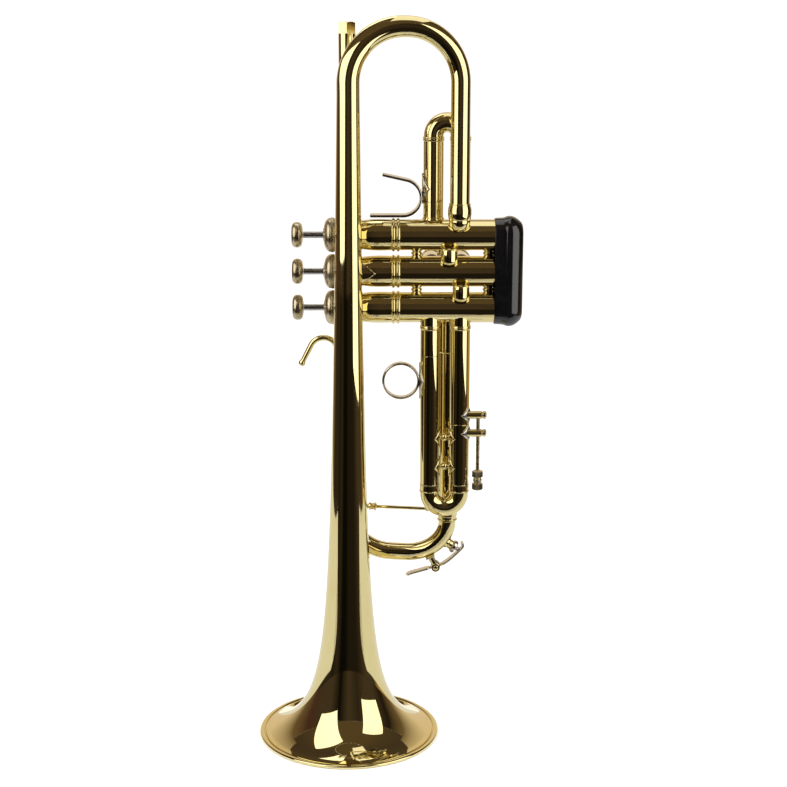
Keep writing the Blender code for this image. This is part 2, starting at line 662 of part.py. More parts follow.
def build_leadpipe():
    low, seat = 285.0, 446.0
    outer = [(low, SLEEVE_R + 0.9), (low + 12, SLEEVE_R + 0.9), (low + 13, 6.0)]
    outer += [(seat - 12, 5.2), (seat, 5.1)]
    inner = [(seat, 4.4), (low + 12, 5.0), (low + 9, SLEEVE_R + GAP), (low, SLEEVE_R + GAP)]
    add_object("leadpipe", turned(outer + inner, PIPE, Z, TUBE_SIDES, closed=True))


def build_receiver():
    top = PIPE_TOP_Z
    outer = [(436.0, 5.5), (437.0, 6.1), (441.0, 6.1), (442.0, 5.6), (top - 0.5, 5.6)]
    inner = [(top - 0.5, 4.6), (top - 26.0, 4.2), (top - 27.0, 5.2), (436.0, 5.2)]
    body = turned(outer + inner, PIPE, Z, TUBE_SIDES, closed=True)
    receiver = add_object("mouthpiece_receiver", body)
    flats = [(top - 7.6, 5.45), (top - 7.6, 6.4), (top, 6.4), (top, 5.45)]
    collar = turned(flats, PIPE, Z, 6, closed=True)
    combine(receiver, "UNION", [add_helper("receiver_hex", collar)])
    mouth = cylinder(PIPE + Z * (top - 9), PIPE + Z * (top + 2), 4.9, TUBE_SIDES)
    combine(receiver, "DIFFERENCE", [add_helper("receiver_mouth", mouth)])


def build_tuning_tubes():
    ring = [(0, 6.9), (6.4, 6.9), (6.9, SLEEVE_R)]
    low = PIPE + Z * TUNING_JOINT_Z
    length = 294.0 - TUNING_JOINT_Z
    profile = ring + [(length, SLEEVE_R), (length, SLEEVE_BORE_R), (0, SLEEVE_BORE_R)]
    add_object("tuning_tube_upper", turned(profile, low, Z, TUBE_SIDES, closed=True))

    base = TUNING_LOWER + Z * TUNING_JOINT_Z
    ball_top = CASING_Z[2] - 2.4 - TUNING_JOINT_Z
    ball, outer_r = 8.0, 7.1
    turn = [pi / 8 * i for i in range(4)]
    dome = [(ball_top - ball + ball * sin(a), outer_r * cos(a)) for a in turn]
    outer = [(0, 6.8), (6.4, 6.8), (6.9, 6.4), (118, 6.4), (118.4, outer_r)]
    bore = SLEEVE_BORE_R - 0.05
    inner = [(ball_top - 1.6, 0), (ball_top - 5, 4.4), (115, 5.2), (114, bore), (0, bore)]
    profile = outer + dome + [(ball_top, 0)]
    bm = turned(profile + inner + [(0, 6.8)], base, Z, TUBE_SIDES)
    tube = add_object("tuning_tube_lower", bm)
    combine(tube, "DIFFERENCE", [bpy.data.objects["casing_cut_3"]])


def build_tuning_crook():
    a, b = PIPE + Z * TUNING_BEND_Z, TUNING_LOWER + Z * TUNING_BEND_Z
    leg = [(95.0, INNER_R, INNER_BORE_R), (0.4, INNER_R, INNER_BORE_R)]
    leg += [(0.3, TUNING_CROOK_R, INNER_BORE_R)]
    bm = u_tube(a, b, -Z, leg, leg[::-1], (TUNING_CROOK_R, INNER_BORE_R), TUNING_BEND, steps=8)
    crook = add_object("tuning_crook", bm, pivot=a)
    centre, _, nipple = key_frame()
    surface = centre + nipple * NIPPLE_FOOT
    stub = cylinder(surface - nipple * 1.2, surface + nipple * NIPPLE_LENGTH, NIPPLE_R, 8)
    combine(crook, "UNION", [add_helper("crook_nipple", stub)])


def build_tuning_brace():
    """A long rod with collars between the two fixed tuning tubes."""
    height = Z * 147.3
    a, b = PIPE + height, TUNING_LOWER + height
    across = (b - a).normalized()
    length = (b - a).length
    start, end = SLEEVE_R + 0.5, length - SLEEVE_R - 0.4
    profile = [(start, 0), (start, 2.6), (start + 1, 1.7), (12.6, 1.7), (13.4, 2.6), (18.1, 2.6), (18.9, 1.2)]
    profile += [(end - 8, 1.2), (end - 7, 1.9), (end - 2, 1.9), (end, 2.8), (end, 0)]
    brace = add_object("tuning_brace", turned(profile, a, across, 8))
    flanges = [
        diamond(a, Z, across, SLEEVE_R, 3.6, 0.75),
        diamond(b, Z, -across, SLEEVE_R - 0.1, 3.6, 0.75),
    ]
    combine(brace, "UNION", [add_helper(f"tuning_flange_{k}", f) for k, f in enumerate(flanges)])


def build_pinky_hook():
    pipe = PIPE + Z * 259.6
    centre = Vector((-16.9, PIPE.y, 256.4))
    bend = arc(centre, X, Z, 9.5, pi * 0.2, pi * 0.85, 8)
    start = pipe - X * (SLEEVE_R + 0.7)
    path = [(start, -X)] + bend
    tangent = bend[-1][1]
    path += [(bend[-1][0] + tangent * s, tangent) for s in (11.5, 13.7, 15.3, 15.9)]
    radii = [2.0] * (len(path) - 4) + [1.9, 2.4, 2.0, 1.0]
    hook = add_object("pinky_hook", sweep(path, radii, sides=8))
    flange = diamond(pipe, Z, -X, SLEEVE_R, 6.0, 0.8)
    combine(hook, "UNION", [add_helper("hook_flange", flange)])


def build_braces():
    """Short braces: bell tube to second casing, and bell tube to leadpipe."""
    z = CASING_Z[1]
    bell = bell_lean(z) + Z * z
    x = 7.6
    front = VALVE_Y - CASING_R
    pillar = rod(Vector((x - 4, 6.0, z)), Vector((x - 4, front - 0.7, z)), 2.6)
    brace = add_object("bell_casing_brace", pillar)
    clearance = cylinder(bell - Z * 20, bell + Z * 20, bell_radius(z - 20) + GAP, 16)
    flange = diamond(Vector((x, VALVE_Y, z)), X, -Y, CASING_R, 11.4, 0.85)
    combine(brace, "DIFFERENCE", [add_helper("brace_bell", clearance)])
    combine(brace, "UNION", [add_helper("casing_flange", flange)])

    z = 405.0
    bell = bell_lean(z) + Z * z
    pipe = PIPE + Z * z
    start, end = bell_radius(z) + 0.7, PIPE.y - 5.4 - 0.6
    middle = (start + end) / 2
    collar = [(middle - 3.0, 1.6), (middle - 2.0, 2.6), (middle + 2.0, 2.6), (middle + 3.0, 1.6)]
    profile = [(start, 0), (start, 1.8)] + collar + [(end, 1.8), (end, 0)]
    brace = add_object("leadpipe_brace", turned(profile, Vector((0.9, 0, z)), Y, 8))
    flanges = [
        diamond(bell, Z, Y, bell_radius(z), 6.5, 0.8),
        diamond(pipe, Z, -Y, 5.4, 6.5, 0.9),
    ]
    combine(brace, "UNION", [add_helper(f"pipe_flange_{k}", f) for k, f in enumerate(flanges)])


# ---------------------------------------------------------------- water key


def key_frame():
    """A centre that the key's parts point away from, the key's pivot, and the nipple's direction."""
    centre = Vector((KEY_CENTRE_X, TUNING_LOWER.y + 0.8, TUNING_BEND_Z))
    pivot = Vector((KEY_PIVOT_X, centre.y, KEY_PIVOT_Z))
    return centre, pivot, X * cos(NIPPLE_ANGLE) - Z * sin(NIPPLE_ANGLE)


def build_water_key():
    """A sprung lever that closes the nipple on the tuning crook's lowest bend."""
    centre, pivot, nipple = key_frame()
    radial = (pivot - centre).normalized()
    foot = centre + radial * (POST_FOOT + 0.5)
    along = radial.cross(Y)
    lugs = rod(pivot - Y * 4.6, pivot + Y * 4.6, 3.2, 10)
    post = add_object("water_key_post", lugs, "brass", pivot)
    gap = block(Vector((-6, -2.2, -6)) + pivot, Vector((6, 2.2, 6)) + pivot)
    combine(post, "DIFFERENCE", [add_helper("key_gap", gap)])
    square = ((1, 1), (-1, 1), (-1, -1), (1, -1))
    corners = [foot + along * a * 2.8 + Y * b * 4.7 for a, b in square]
    plate = skin([corners, [p + radial * 1.5 for p in corners]], closed=False)
    helpers = [add_helper("key_plate", plate)]
    for sign in (-1, 1):
        ends = [p + Y * sign * 3.4 for p in (foot + radial * 0.8, pivot)]
        sections = [[p + along * a * 1.7 + Y * b * 1.1 for a, b in square] for p in ends]
        helpers.append(add_helper(f"key_web_{sign + 1}", skin(sections, closed=False)))
    combine(post, "UNION", helpers)

    outline = [(-20.4, -6.4), (-12.0, -3.4), (-6.0, -1.8), (-3.6, -1.1), (1.0, 0.0), (3.6, 1.2)]
    outline += [(6.4, 2.7), (11.4, 6.6), (16.3, 11.4), (19.0, 14.8), (18.0, 17.0)]
    half_widths = [2.2, 3.1, 3.1, 1.8, 1.8, 1.8] + [3.1] * 5
    points = [pivot + Vector((dx, 0, dz)) for dx, dz in outline]
    sections = []
    for i, (point, half_width) in enumerate(zip(points, half_widths)):
        tangent = (points[min(i + 1, len(points) - 1)] - points[max(i - 1, 0)]).normalized()
        sections.append(strip_section(point, tangent, half_width, 0.9))
    lever = add_object("water_key_lever", skin(sections, closed=False), "nickel", pivot)
    seat = centre + nipple * (NIPPLE_FOOT + NIPPLE_LENGTH + GAP)
    cup = cylinder(seat, seat + nipple * 2.8, 4.4, 10)
    arm = rod(seat + nipple * 1.8, (points[7] + points[8]) / 2, 1.2, 6)
    combine(lever, "UNION", [add_helper("key_arm", arm), add_helper("key_cup", cup)])


# ---------------------------------------------------------------- main


def main():
    for obj in list(bpy.data.objects):
        bpy.data.objects.remove(obj)
    for name in MATERIALS:
        make_material(name)
    frame = bpy.data.objects.new("trumpet", None)
    frame.location = -ORIGIN * MM
    bpy.context.scene.collection.objects.link(frame)

    build_casing_cutters()
    ports = build_ports()
    build_bell_flare()
    build_bell_tube()
    build_bell_bow()
    build_bell_ferrule()
    for n in (1, 2, 3):
        build_casing(n, ports[n])
        build_caps(n)
        build_valve(n)
    build_guard()
    build_balusters()
    build_knuckles()
    build_first_slide()
    build_thumb_saddle()
    build_second_slide()
    build_third_slide()
    build_finger_ring()
    build_stop()
    build_leadpipe()
    build_receiver()
    build_tuning_tubes()
    build_tuning_crook()
    build_tuning_brace()
    build_pinky_hook()
    build_braces()
    build_water_key()


main()
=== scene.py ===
"""Looks of a B-flat trumpet standing on its bell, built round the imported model.

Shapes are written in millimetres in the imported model's frame: +X from the finger buttons to
the bottom caps, +Y from the bell tube to the leadpipe, +Z up the bell. Each shape is a
(points, faces) pair that stands where its CAD node stands, as the node's box says.
"""

import json
from math import cos, pi, radians, sin
from types import SimpleNamespace

import bmesh
import bpy
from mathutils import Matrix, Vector


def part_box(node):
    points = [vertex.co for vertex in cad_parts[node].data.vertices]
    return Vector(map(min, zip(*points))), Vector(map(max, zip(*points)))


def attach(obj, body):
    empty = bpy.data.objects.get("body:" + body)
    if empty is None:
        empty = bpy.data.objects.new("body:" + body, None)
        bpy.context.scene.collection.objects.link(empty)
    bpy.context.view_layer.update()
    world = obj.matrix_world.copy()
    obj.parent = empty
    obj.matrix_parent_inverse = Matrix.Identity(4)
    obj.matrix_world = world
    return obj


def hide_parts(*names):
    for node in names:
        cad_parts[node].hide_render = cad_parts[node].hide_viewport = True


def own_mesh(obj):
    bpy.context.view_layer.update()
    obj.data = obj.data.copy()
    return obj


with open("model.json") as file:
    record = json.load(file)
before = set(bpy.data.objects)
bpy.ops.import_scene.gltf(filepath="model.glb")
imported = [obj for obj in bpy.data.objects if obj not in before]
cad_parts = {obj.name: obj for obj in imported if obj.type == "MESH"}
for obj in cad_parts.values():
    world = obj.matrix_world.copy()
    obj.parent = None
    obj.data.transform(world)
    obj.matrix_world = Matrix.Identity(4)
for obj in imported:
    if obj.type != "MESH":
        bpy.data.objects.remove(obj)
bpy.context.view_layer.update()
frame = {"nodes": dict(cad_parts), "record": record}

MM = 0.001
X, Y, Z = Vector((1, 0, 0)), Vector((0, 1, 0)), Vector((0, 0, 1))
TUBE_SIDES, BELL_SIDES = 56, 128
EASE = 0.25  # rounding of a turned edge
MERGE = 0.004 * MM

BODY_OF = {n: body for body, nodes in frame["record"]["behaviour"]["bodies"].items() for n in nodes}
SLOT_OF = {row["node"]: row["material_slot"] for row in frame["record"]["subparts"]}


def box(node):
    """A CAD node's corners, middle and size in millimetres."""
    low, high = (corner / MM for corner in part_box(node))
    return SimpleNamespace(low=low, high=high, mid=(low + high) / 2, size=high - low)


# ---- measures

# Bell
FLARE = box("bell_flare")
BELL = Vector((FLARE.mid.x, FLARE.mid.y, 0))
RIM_R = FLARE.size.x / 2
BELL_TUBE_R, BELL_TAPER = 9.5, 0.009
FLARE_A, FLARE_B, FLARE_N = 1010.0, 16.2, 1.053
BELL_WALL = 0.7
BELL_LEAN = 2.0
BOW_SEAM_Z = box("bell_tube").high.z
BOW_BEND_R, BOW_TUBE_R = 35.0, 6.2
BOW = box("bell_bow")
BOW_BEND_Z = BOW.high.z - BOW_BEND_R - 6.5
BOW_END = Vector((BOW.high.x - BOW_TUBE_R, BOW.high.y - BOW_TUBE_R, 0))

# Valves
CASINGS = [box(f"casing_{n}") for n in (1, 2, 3)]
CASING_R, CASING_BORE_R = 10.1, 8.75
STEM_R = 2.2

# Tubing
SLEEVE_R, SLEEVE_BORE_R = 6.55, 6.15
INNER_R, INNER_BORE_R = 5.85, 5.3
PIPE = box("tuning_tube_upper")
LOWER = box("tuning_tube_lower")
TUNING_BEND = (29.0, 24.0)  # half width and depth of each corner of the crook
TUNING_CROOK_R = 6.0
TUNING_BEND_DROP = 0.7  # the tuning crook's bend starts this far below its tubes
KEY_CENTRE = Vector((LOWER.mid.x - 24.0, LOWER.mid.y + 0.8, LOWER.low.z - TUNING_BEND_DROP))
NIPPLE_FOOT, POST_FOOT = 29.3, 28.8  # from the key's centre to the crook's surface
KEY_PIVOT = KEY_CENTRE + Vector((16.2, 0, -33.1))
NIPPLE_ANGLE = 0.585
NIPPLE = X * cos(NIPPLE_ANGLE) - Z * sin(NIPPLE_ANGLE)


# ---- finishes


def nodes_of(name):
    """A new material, its node tree and its shader."""
    material = bpy.data.materials.new(name)
    material.use_nodes = True
    tree = material.node_tree
    return material, tree, tree.nodes["Principled BSDF"]


def noise(tree, scale, detail, stretch=(1, 1, 1)):
    """Noise over the object's own coordinates, which are metres."""
    place = tree.nodes.new("ShaderNodeTexCoord")
    mapping = tree.nodes.new("ShaderNodeMapping")
    mapping.inputs["Scale"].default_value = stretch
    node = tree.nodes.new("ShaderNodeTexNoise")
    node.inputs["Scale"].default_value = scale
    node.inputs["Detail"].default_value = detail
    node.inputs["Roughness"].default_value = 0.55
    tree.links.new(place.outputs["Object"], mapping.inputs["Vector"])
    tree.links.new(mapping.outputs["Vector"], node.inputs["Vector"])
    return node.outputs["Fac"]


def spread(tree, value, low, high, to_low, to_high):
    """Map low..high of a value to to_low..to_high."""
    node = tree.nodes.new("ShaderNodeMapRange")
    for socket, number in zip(("From Min", "From Max", "To Min", "To Max"), (low, high, to_low, to_high)):
        node.inputs[socket].default_value = number
    tree.links.new(value, node.inputs["Value"])
    return node.outputs["Result"]


def added(tree, a, b):
    node = tree.nodes.new("ShaderNodeMath")
    node.operation = "ADD"
    tree.links.new(a, node.inputs[0])
    tree.links.new(b, node.inputs[1])
    return node.outputs["Value"]


def ramp(tree, value, stops):
    """Colour a value. stops are (position, colour) pairs."""
    node = tree.nodes.new("ShaderNodeValToRGB")
    ends = node.color_ramp.elements
    while len(ends) < len(stops):
        ends.new(0.5)
    for end, (position, colour) in zip(ends, stops):
        end.position = position
        end.color = (*colour, 1)
    tree.links.new(value, node.inputs["Fac"])
    return node.outputs["Color"]


def feed(tree, shader, colour, roughness):
    tree.links.new(colour, shader.inputs["Base Color"])
    tree.links.new(roughness, shader.inputs["Roughness"])


def bump(tree, shader, height, strength, distance):
    """Raise the surface by a height map. distance is in millimetres."""
    node = tree.nodes.new("ShaderNodeBump")
    node.inputs["Strength"].default_value = strength
    node.inputs["Distance"].default_value = distance * MM
    tree.links.new(height, node.inputs["Height"])
    tree.links.new(node.outputs["Normal"], shader.inputs["Normal"])


def metal(name, tones, rough, stretch=(1, 1, 1), ripple=0.02, coat=0.0):
    """Polished metal: its tone drifts, its polish is streaked, and its surface ripples a little.
    rough is its least and greatest roughness, and stretch draws its streaks out."""
    material, tree, shader = nodes_of(name)
    shader.inputs["Metallic"].default_value = 1.0
    shader.inputs["Coat Weight"].default_value = coat
    shader.inputs["Coat Roughness"].default_value = 0.04
    drift = noise(tree, 45, 5)
    specks = spread(tree, noise(tree, 700, 3), 0.3, 0.7, -0.06, 0.06)
    least, greatest = rough
    streaks = spread(tree, noise(tree, 320, 6, stretch), 0.3, 0.75, 0, greatest - least)
    smears = spread(tree, noise(tree, 38, 3), 0.45, 0.8, 0, 0.015)
    polish = spread(tree, added(tree, streaks, smears), 0, 1, least, 1 + least)
    feed(tree, shader, ramp(tree, added(tree, drift, specks), tones), polish)
    bump(tree, shader, noise(tree, 60, 2), ripple, 1.0)
    return material


def rubber(name):
    """Black rubber with a slight sheen and a pebbled surface."""
    material, tree, shader = nodes_of(name)
    shader.inputs["Specular IOR Level"].default_value = 0.75
    tone = ramp(tree, noise(tree, 90, 6), [(0.3, (0.0015, 0.0015, 0.0018)), (0.7, (0.004, 0.004, 0.0046))])
    feed(tree, shader, tone, spread(tree, noise(tree, 260, 5), 0.3, 0.7, 0.07, 0.16))
    bump(tree, shader, noise(tree, 900, 4), 0.05, 0.1)
    return material


def plain(name, tones, rough, grain_scale, grain):
    """A matt solid with a grain, such as nylon or cork."""
    material, tree, shader = nodes_of(name)
    grain_value = noise(tree, grain_scale, 6)
    feed(tree, shader, ramp(tree, grain_value, tones), spread(tree, grain_value, 0.3, 0.7, *rough))
    bump(tree, shader, grain_value, grain, 0.3)
    return material


def make_finishes():
    gold = [(0.30, (0.76, 0.645, 0.31)), (0.55, (0.79, 0.68, 0.34)), (0.80, (0.81, 0.705, 0.37))]
    pale = [(0.30, (0.44, 0.36, 0.22)), (0.55, (0.60, 0.51, 0.34)), (0.80, (0.74, 0.65, 0.47))]
    bright = [(0.30, (0.60, 0.56, 0.46)), (0.60, (0.70, 0.66, 0.57)), (0.80, (0.76, 0.73, 0.65))]
    grey = [(0.30, (0.50, 0.50, 0.50)), (0.70, (0.62, 0.62, 0.61))]
    dark_reflection_tones = [(0.30, (0.13, 0.13, 0.14)), (0.70, (0.22, 0.22, 0.23))]
    white = [(0.30, (0.66, 0.65, 0.60)), (0.70, (0.74, 0.73, 0.68))]
    tan = [(0.35, (0.20, 0.11, 0.05)), (0.60, (0.50, 0.33, 0.18))]
    return {
        "brass": metal("lacquered_brass", gold, (0.02, 0.05), (1, 1, 0.15), 0.006, coat=0.25),
        "aged_nickel": metal("aged_nickel", pale, (0.22, 0.36), (0.3, 1, 1), 0.05),
        "nickel": metal("polished_nickel", bright, (0.08, 0.18), ripple=0.03),
        # Darker nickel for the faces on the stop's flanges: a painted dark reflection of the dark side of the
        # studio.
        "painted_dark_reflection": metal("nickel_painted_dark_reflection", dark_reflection_tones, (0.22, 0.36), ripple=0.05),
        "steel": metal("polished_steel", grey, (0.16, 0.26), (0.1, 1, 1), 0.01),
        "rubber": rubber("black_rubber"),
        "nylon": plain("white_nylon", white, (0.4, 0.55), 500, 0.1),
        "cork": plain("cork", tan, (0.7, 0.9), 1500, 0.6),
    }


FINISHES = make_finishes()


# ---- shapes


def join(*shapes):
    points, faces = [], []
    for more_points, more_faces in shapes:
        shift = len(points)
        faces += [tuple(i + shift for i in face) for face in more_faces]
        points += more_points
    return points, faces


def loft(rings, closed=False):
    """A skin over rings of points, closed on itself or capped at both ends."""
    count = len(rings[0])
    points = [point for ring in rings for point in ring]
    faces = []
    last = len(rings) if closed else len(rings) - 1
    for k in range(last):
        low, high = k * count, (k + 1) % len(rings) * count
        faces += [(low + i, low + (i + 1) % count, high + (i + 1) % count, high + i) for i in range(count)]
    if not closed:
        faces.append(tuple(range(count))[::-1])
        faces.append(tuple(range((len(rings) - 1) * count, len(rings) * count)))
    return points, faces


def eased(profile, radius=EASE, closed=False):
    """Round a profile's corners, with a point on each side that keeps its flats flat."""
    profile = [Vector(point) for point in profile]
    count = len(profile)
    nearly_straight, too_short = radians(162), 1e-6
    points = []
    for i, corner in enumerate(profile):
        if not closed and i in (0, count - 1):
            points.append(corner)
            continue
        back, on = profile[i - 1] - corner, profile[(i + 1) % count] - corner
        if min(back.length, on.length) < too_short or back.angle(on) > nearly_straight:
            points.append(corner)
            continue
        reach = min(radius, back.length * 0.3, on.length * 0.3)
        start, end = corner + back.normalized() * reach, corner + on.normalized() * reach
        points.append(corner + back.normalized() * reach * 1.5)
        for t in (0, 0.25, 0.5, 0.75, 1):
            points.append(start * (1 - t) ** 2 + corner * 2 * t * (1 - t) + end * t**2)
        points.append(corner + on.normalized() * reach * 1.5)
    return points


def at_height(place, z):
    return Vector((place.x, place.y, z))


def circle(point, normal, side, radius, sides):
    """A ring of points round point, across normal, that starts towards side."""
    across = normal.cross(side)
    turns = [2 * pi * i / sides for i in range(sides)]
    return [point + (side * cos(a) + across * sin(a)) * radius for a in turns]


def turned(profile, base, axis, sides=TUBE_SIDES, closed=False, ease=EASE, knurl=None):
    """Turn a profile of (distance along axis, radius) about the axis: a closed one makes a ring,
    and an open one a solid. knurl is (low, high, teeth, depth)."""
    side = Y if abs(axis.y) < 0.5 else X
    side = (side - axis * axis.dot(side)).normalized()
    if knurl:
        low, high, teeth, depth = knurl
        sides = teeth * 4
    rings = []
    for s, r in eased(profile, ease, closed):
        ring = circle(base + axis * s, axis, side, r, sides)
        if knurl and low <= s <= high:
            centre = base + axis * s
            cuts = (0, 0.5, 1, 0.5)
            ring = [p - (p - centre).normalized() * depth * cuts[i % 4] for i, p in enumerate(ring)]
        rings.append(ring)
    return loft(rings, closed)


def mirrored(half):
    """A profile and its mirror image about distance 0."""
    return half + [(-s, r) for s, r in reversed(half)]


def arc2d(s, r, radius_s, radius_r, first, last, steps=8):
    """Points (s + radius_s cos a, r + radius_r sin a), with the angles in degrees."""
    angles = [radians(first + (last - first) * i / steps) for i in range(steps + 1)]
    return [(s + radius_s * cos(a), r + radius_r * sin(a)) for a in angles]


def arc(centre, u, v, radius, first, last, steps):
    """(point, tangent) pairs on a circle, from angle first to last, u towards v."""
    turn = 1 if last > first else -1
    angles = [first + (last - first) * i / steps for i in range(steps + 1)]
    return [
        (centre + (u * cos(a) + v * sin(a)) * radius, (v * cos(a) - u * sin(a)) * turn)
        for a in angles
    ]


def bend_path(a, b, out, corner=None, steps=40):
    """A half turn from a to b that bulges along out. corner is the half width and depth of
    each rounded corner, and None makes a half circle."""
    across = (b - a).normalized()
    wide, deep = corner or ((b - a).length / 2,) * 2
    side = -across * wide / deep
    first = arc(a + across * wide, side, out, deep, 0, pi / 2, steps // 2)
    second = arc(b - across * wide, side, out, deep, pi / 2, pi, steps // 2)
    bend = first + (second if corner else second[1:])
    return [(point, tangent.normalized()) for point, tangent in bend]


def u_tube(a, b, out, outer, bore, corner=None):
    """A bent tube. outer and bore are (rows of leg a, crook radius, rows of leg b), and a row
    is (distance from the bend, radius), listed from the mouth of leg a to that of leg b."""
    normal = (b - a).cross(out).normalized()
    bend = bend_path(a, b, out, corner)

    def rings(leg_a, crook, leg_b):
        path = [(a - out * s, out, r) for s, r in eased(leg_a)]
        path += [(point, tangent, crook) for point, tangent in bend]
        path += [(b - out * s, -out, r) for s, r in eased(leg_b)]
        return [circle(p, t, normal, r, TUBE_SIDES) for p, t, r in path]

    return loft(rings(*outer) + rings(*bore)[::-1], closed=True)


def slide_crook(a, b, out, outer, crook_r, bore, corner=None):
    """A bent tube whose legs are alike."""
    return u_tube(a, b, out, (outer, crook_r, outer[::-1]), (bore, INNER_BORE_R, bore[::-1]), corner)


def ribbon(path, half_widths, half_thicks, square, across=Y):
    """A strip with rounded edges along (point, tangent) pairs. A small square makes its edges
    sharper, and 1 makes them round."""
    sides = 28
    rings = []
    for (point, tangent), width, thick in zip(path, half_widths, half_thicks):
        up = tangent.cross(across).normalized()
        ring = []
        for i in range(sides):
            a = 2 * pi * i / sides
            c, s = cos(a), sin(a)
            reach_w = width * abs(c) ** square * (1 if c > 0 else -1)
            reach_t = thick * abs(s) ** square * (1 if s > 0 else -1)
            ring.append(point + across * reach_w + up * reach_t)
        rings.append(ring)
    return loft(rings)


def smooth_path(points, steps):
    """(point, tangent) pairs on a smooth curve through the points."""
    path = []
    for i in range(len(points) - 1):
        p0, p1 = points[max(i - 1, 0)], points[i]
        p2, p3 = points[i + 1], points[min(i + 2, len(points) - 1)]
        linear, square, cube = p2 - p0, 2 * p0 - 5 * p1 + 4 * p2 - p3, 3 * p1 - 3 * p2 + p3 - p0
        for k in range(steps + (i == len(points) - 2)):
            t = k / steps
            place = p1 + (linear * t + square * t**2 + cube * t**3) / 2
            slope = linear + square * 2 * t + cube * 3 * t**2
            path.append((place, slope.normalized()))
    return path


def diamond(centre, axis, facing, radius, half_length, half_angle, thickness=0.8):
    """A diamond plate with bevelled edges, wrapped on a tube of that radius. Its corners are
    half_length along the tube and half_angle round it."""
    around = axis.cross(facing)
    bevel = 0.91  # the edge starts to fall at this share of the way out
    marks = [-1, -0.98, -0.95, -bevel, -0.5, 0, 0.5, bevel, 0.95, 0.98, 1]
    sunk = 0.3  # how far the plate's foot lies inside the tube
    top, foot = [], []
    for a in marks:
        for b in marks:
            angle = half_angle * (a - b) / 2
            edge = max(0, (max(abs(a), abs(b)) - bevel) / (1 - bevel))
            height = thickness * (1 - 0.4 * edge**2)
            direction = facing * cos(angle) + around * sin(angle)
            middle = centre + axis * half_length * (a + b) / 2
            top.append(middle + direction * (radius + height))
            foot.append(middle + direction * (radius - sunk))
    n = len(marks)
    quads = [(i * n + j, i * n + j + 1, (i + 1) * n + j + 1, (i + 1) * n + j)
             for i in range(n - 1) for j in range(n - 1)]
    rim = list(range(n)) + [i * n + n - 1 for i in range(1, n)]
    rim += [(n - 1) * n + j for j in range(n - 2, -1, -1)] + [i * n for i in range(n - 2, 0, -1)]
    walls = [(rim[k], rim[(k + 1) % len(rim)], rim[(k + 1) % len(rim)] + n * n, rim[k] + n * n)
             for k in range(len(rim))]
    floor = [tuple(i + n * n for i in quad)[::-1] for quad in quads]
    return top + foot, quads + walls + floor


def coil(base, axis, start, radius, wire, turns, length, steps=24, sides=10):
    """A helical spring whose wire starts at start, a unit vector across axis. wire is the wire's
    radius, and steps are the rings of points in each turn."""
    across = axis.cross(start)
    rings = []
    rise = axis * length / (2 * pi * turns * radius)
    for i in range(int(turns * steps) + 1):
        a = 2 * pi * i / steps
        out = start * cos(a) + across * sin(a)
        tangent = (across * cos(a) - start * sin(a) + rise).normalized()
        point = base + axis * length * i / (turns * steps) + out * radius
        side = (out - tangent * out.dot(tangent)).normalized()
        rings.append(circle(point, tangent, side, wire, sides))
    return loft(rings)


def add_object(name, data):
    obj = bpy.data.objects.new(name, data)
    bpy.context.scene.collection.objects.link(obj)
    return obj


def piece(name, shape, finish, body, slot, nodes=()):
    """A shape as an object that rides on a body and stands for the CAD nodes listed."""
    points, faces = shape
    mesh = bpy.data.meshes.new(name)
    mesh.from_pydata([point * MM for point in points], [], faces)
    bm = bmesh.new()
    bm.from_mesh(mesh)
    bmesh.ops.remove_doubles(bm, verts=bm.verts, dist=MERGE)
    bmesh.ops.dissolve_degenerate(bm, edges=bm.edges, dist=MERGE / 4)
    bmesh.ops.recalc_face_normals(bm, faces=bm.faces)
    bm.to_mesh(mesh)
    bm.free()
    mesh.shade_smooth()
    mesh.set_sharp_from_angle(angle=radians(40))
    mesh.materials.append(FINISHES[finish])
    obj = add_object(name, mesh)
    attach(obj, body)
    if nodes:
        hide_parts(*nodes)
    return obj


def fine(node, shape, finish=None, also=()):
    """The finished shape of a CAD node, and of the nodes it runs on into."""
    slot = SLOT_OF[node]
    return piece(f"fine_{node}", shape, finish or slot, BODY_OF[node], slot, (node, *also))


# ---- bell


def bell_radius(z):
    """The bell's outer radius at a height, from its tube down to its flare."""
    return BELL_TUBE_R - BELL_TAPER * z + FLARE_A / (z + FLARE_B) ** FLARE_N


def bell_axis(z):
    """The middle of the bell at a height. The bell leans a little towards the caps."""
    return BELL + Vector((BELL_LEAN * z / BOW_SEAM_Z, 0, z))


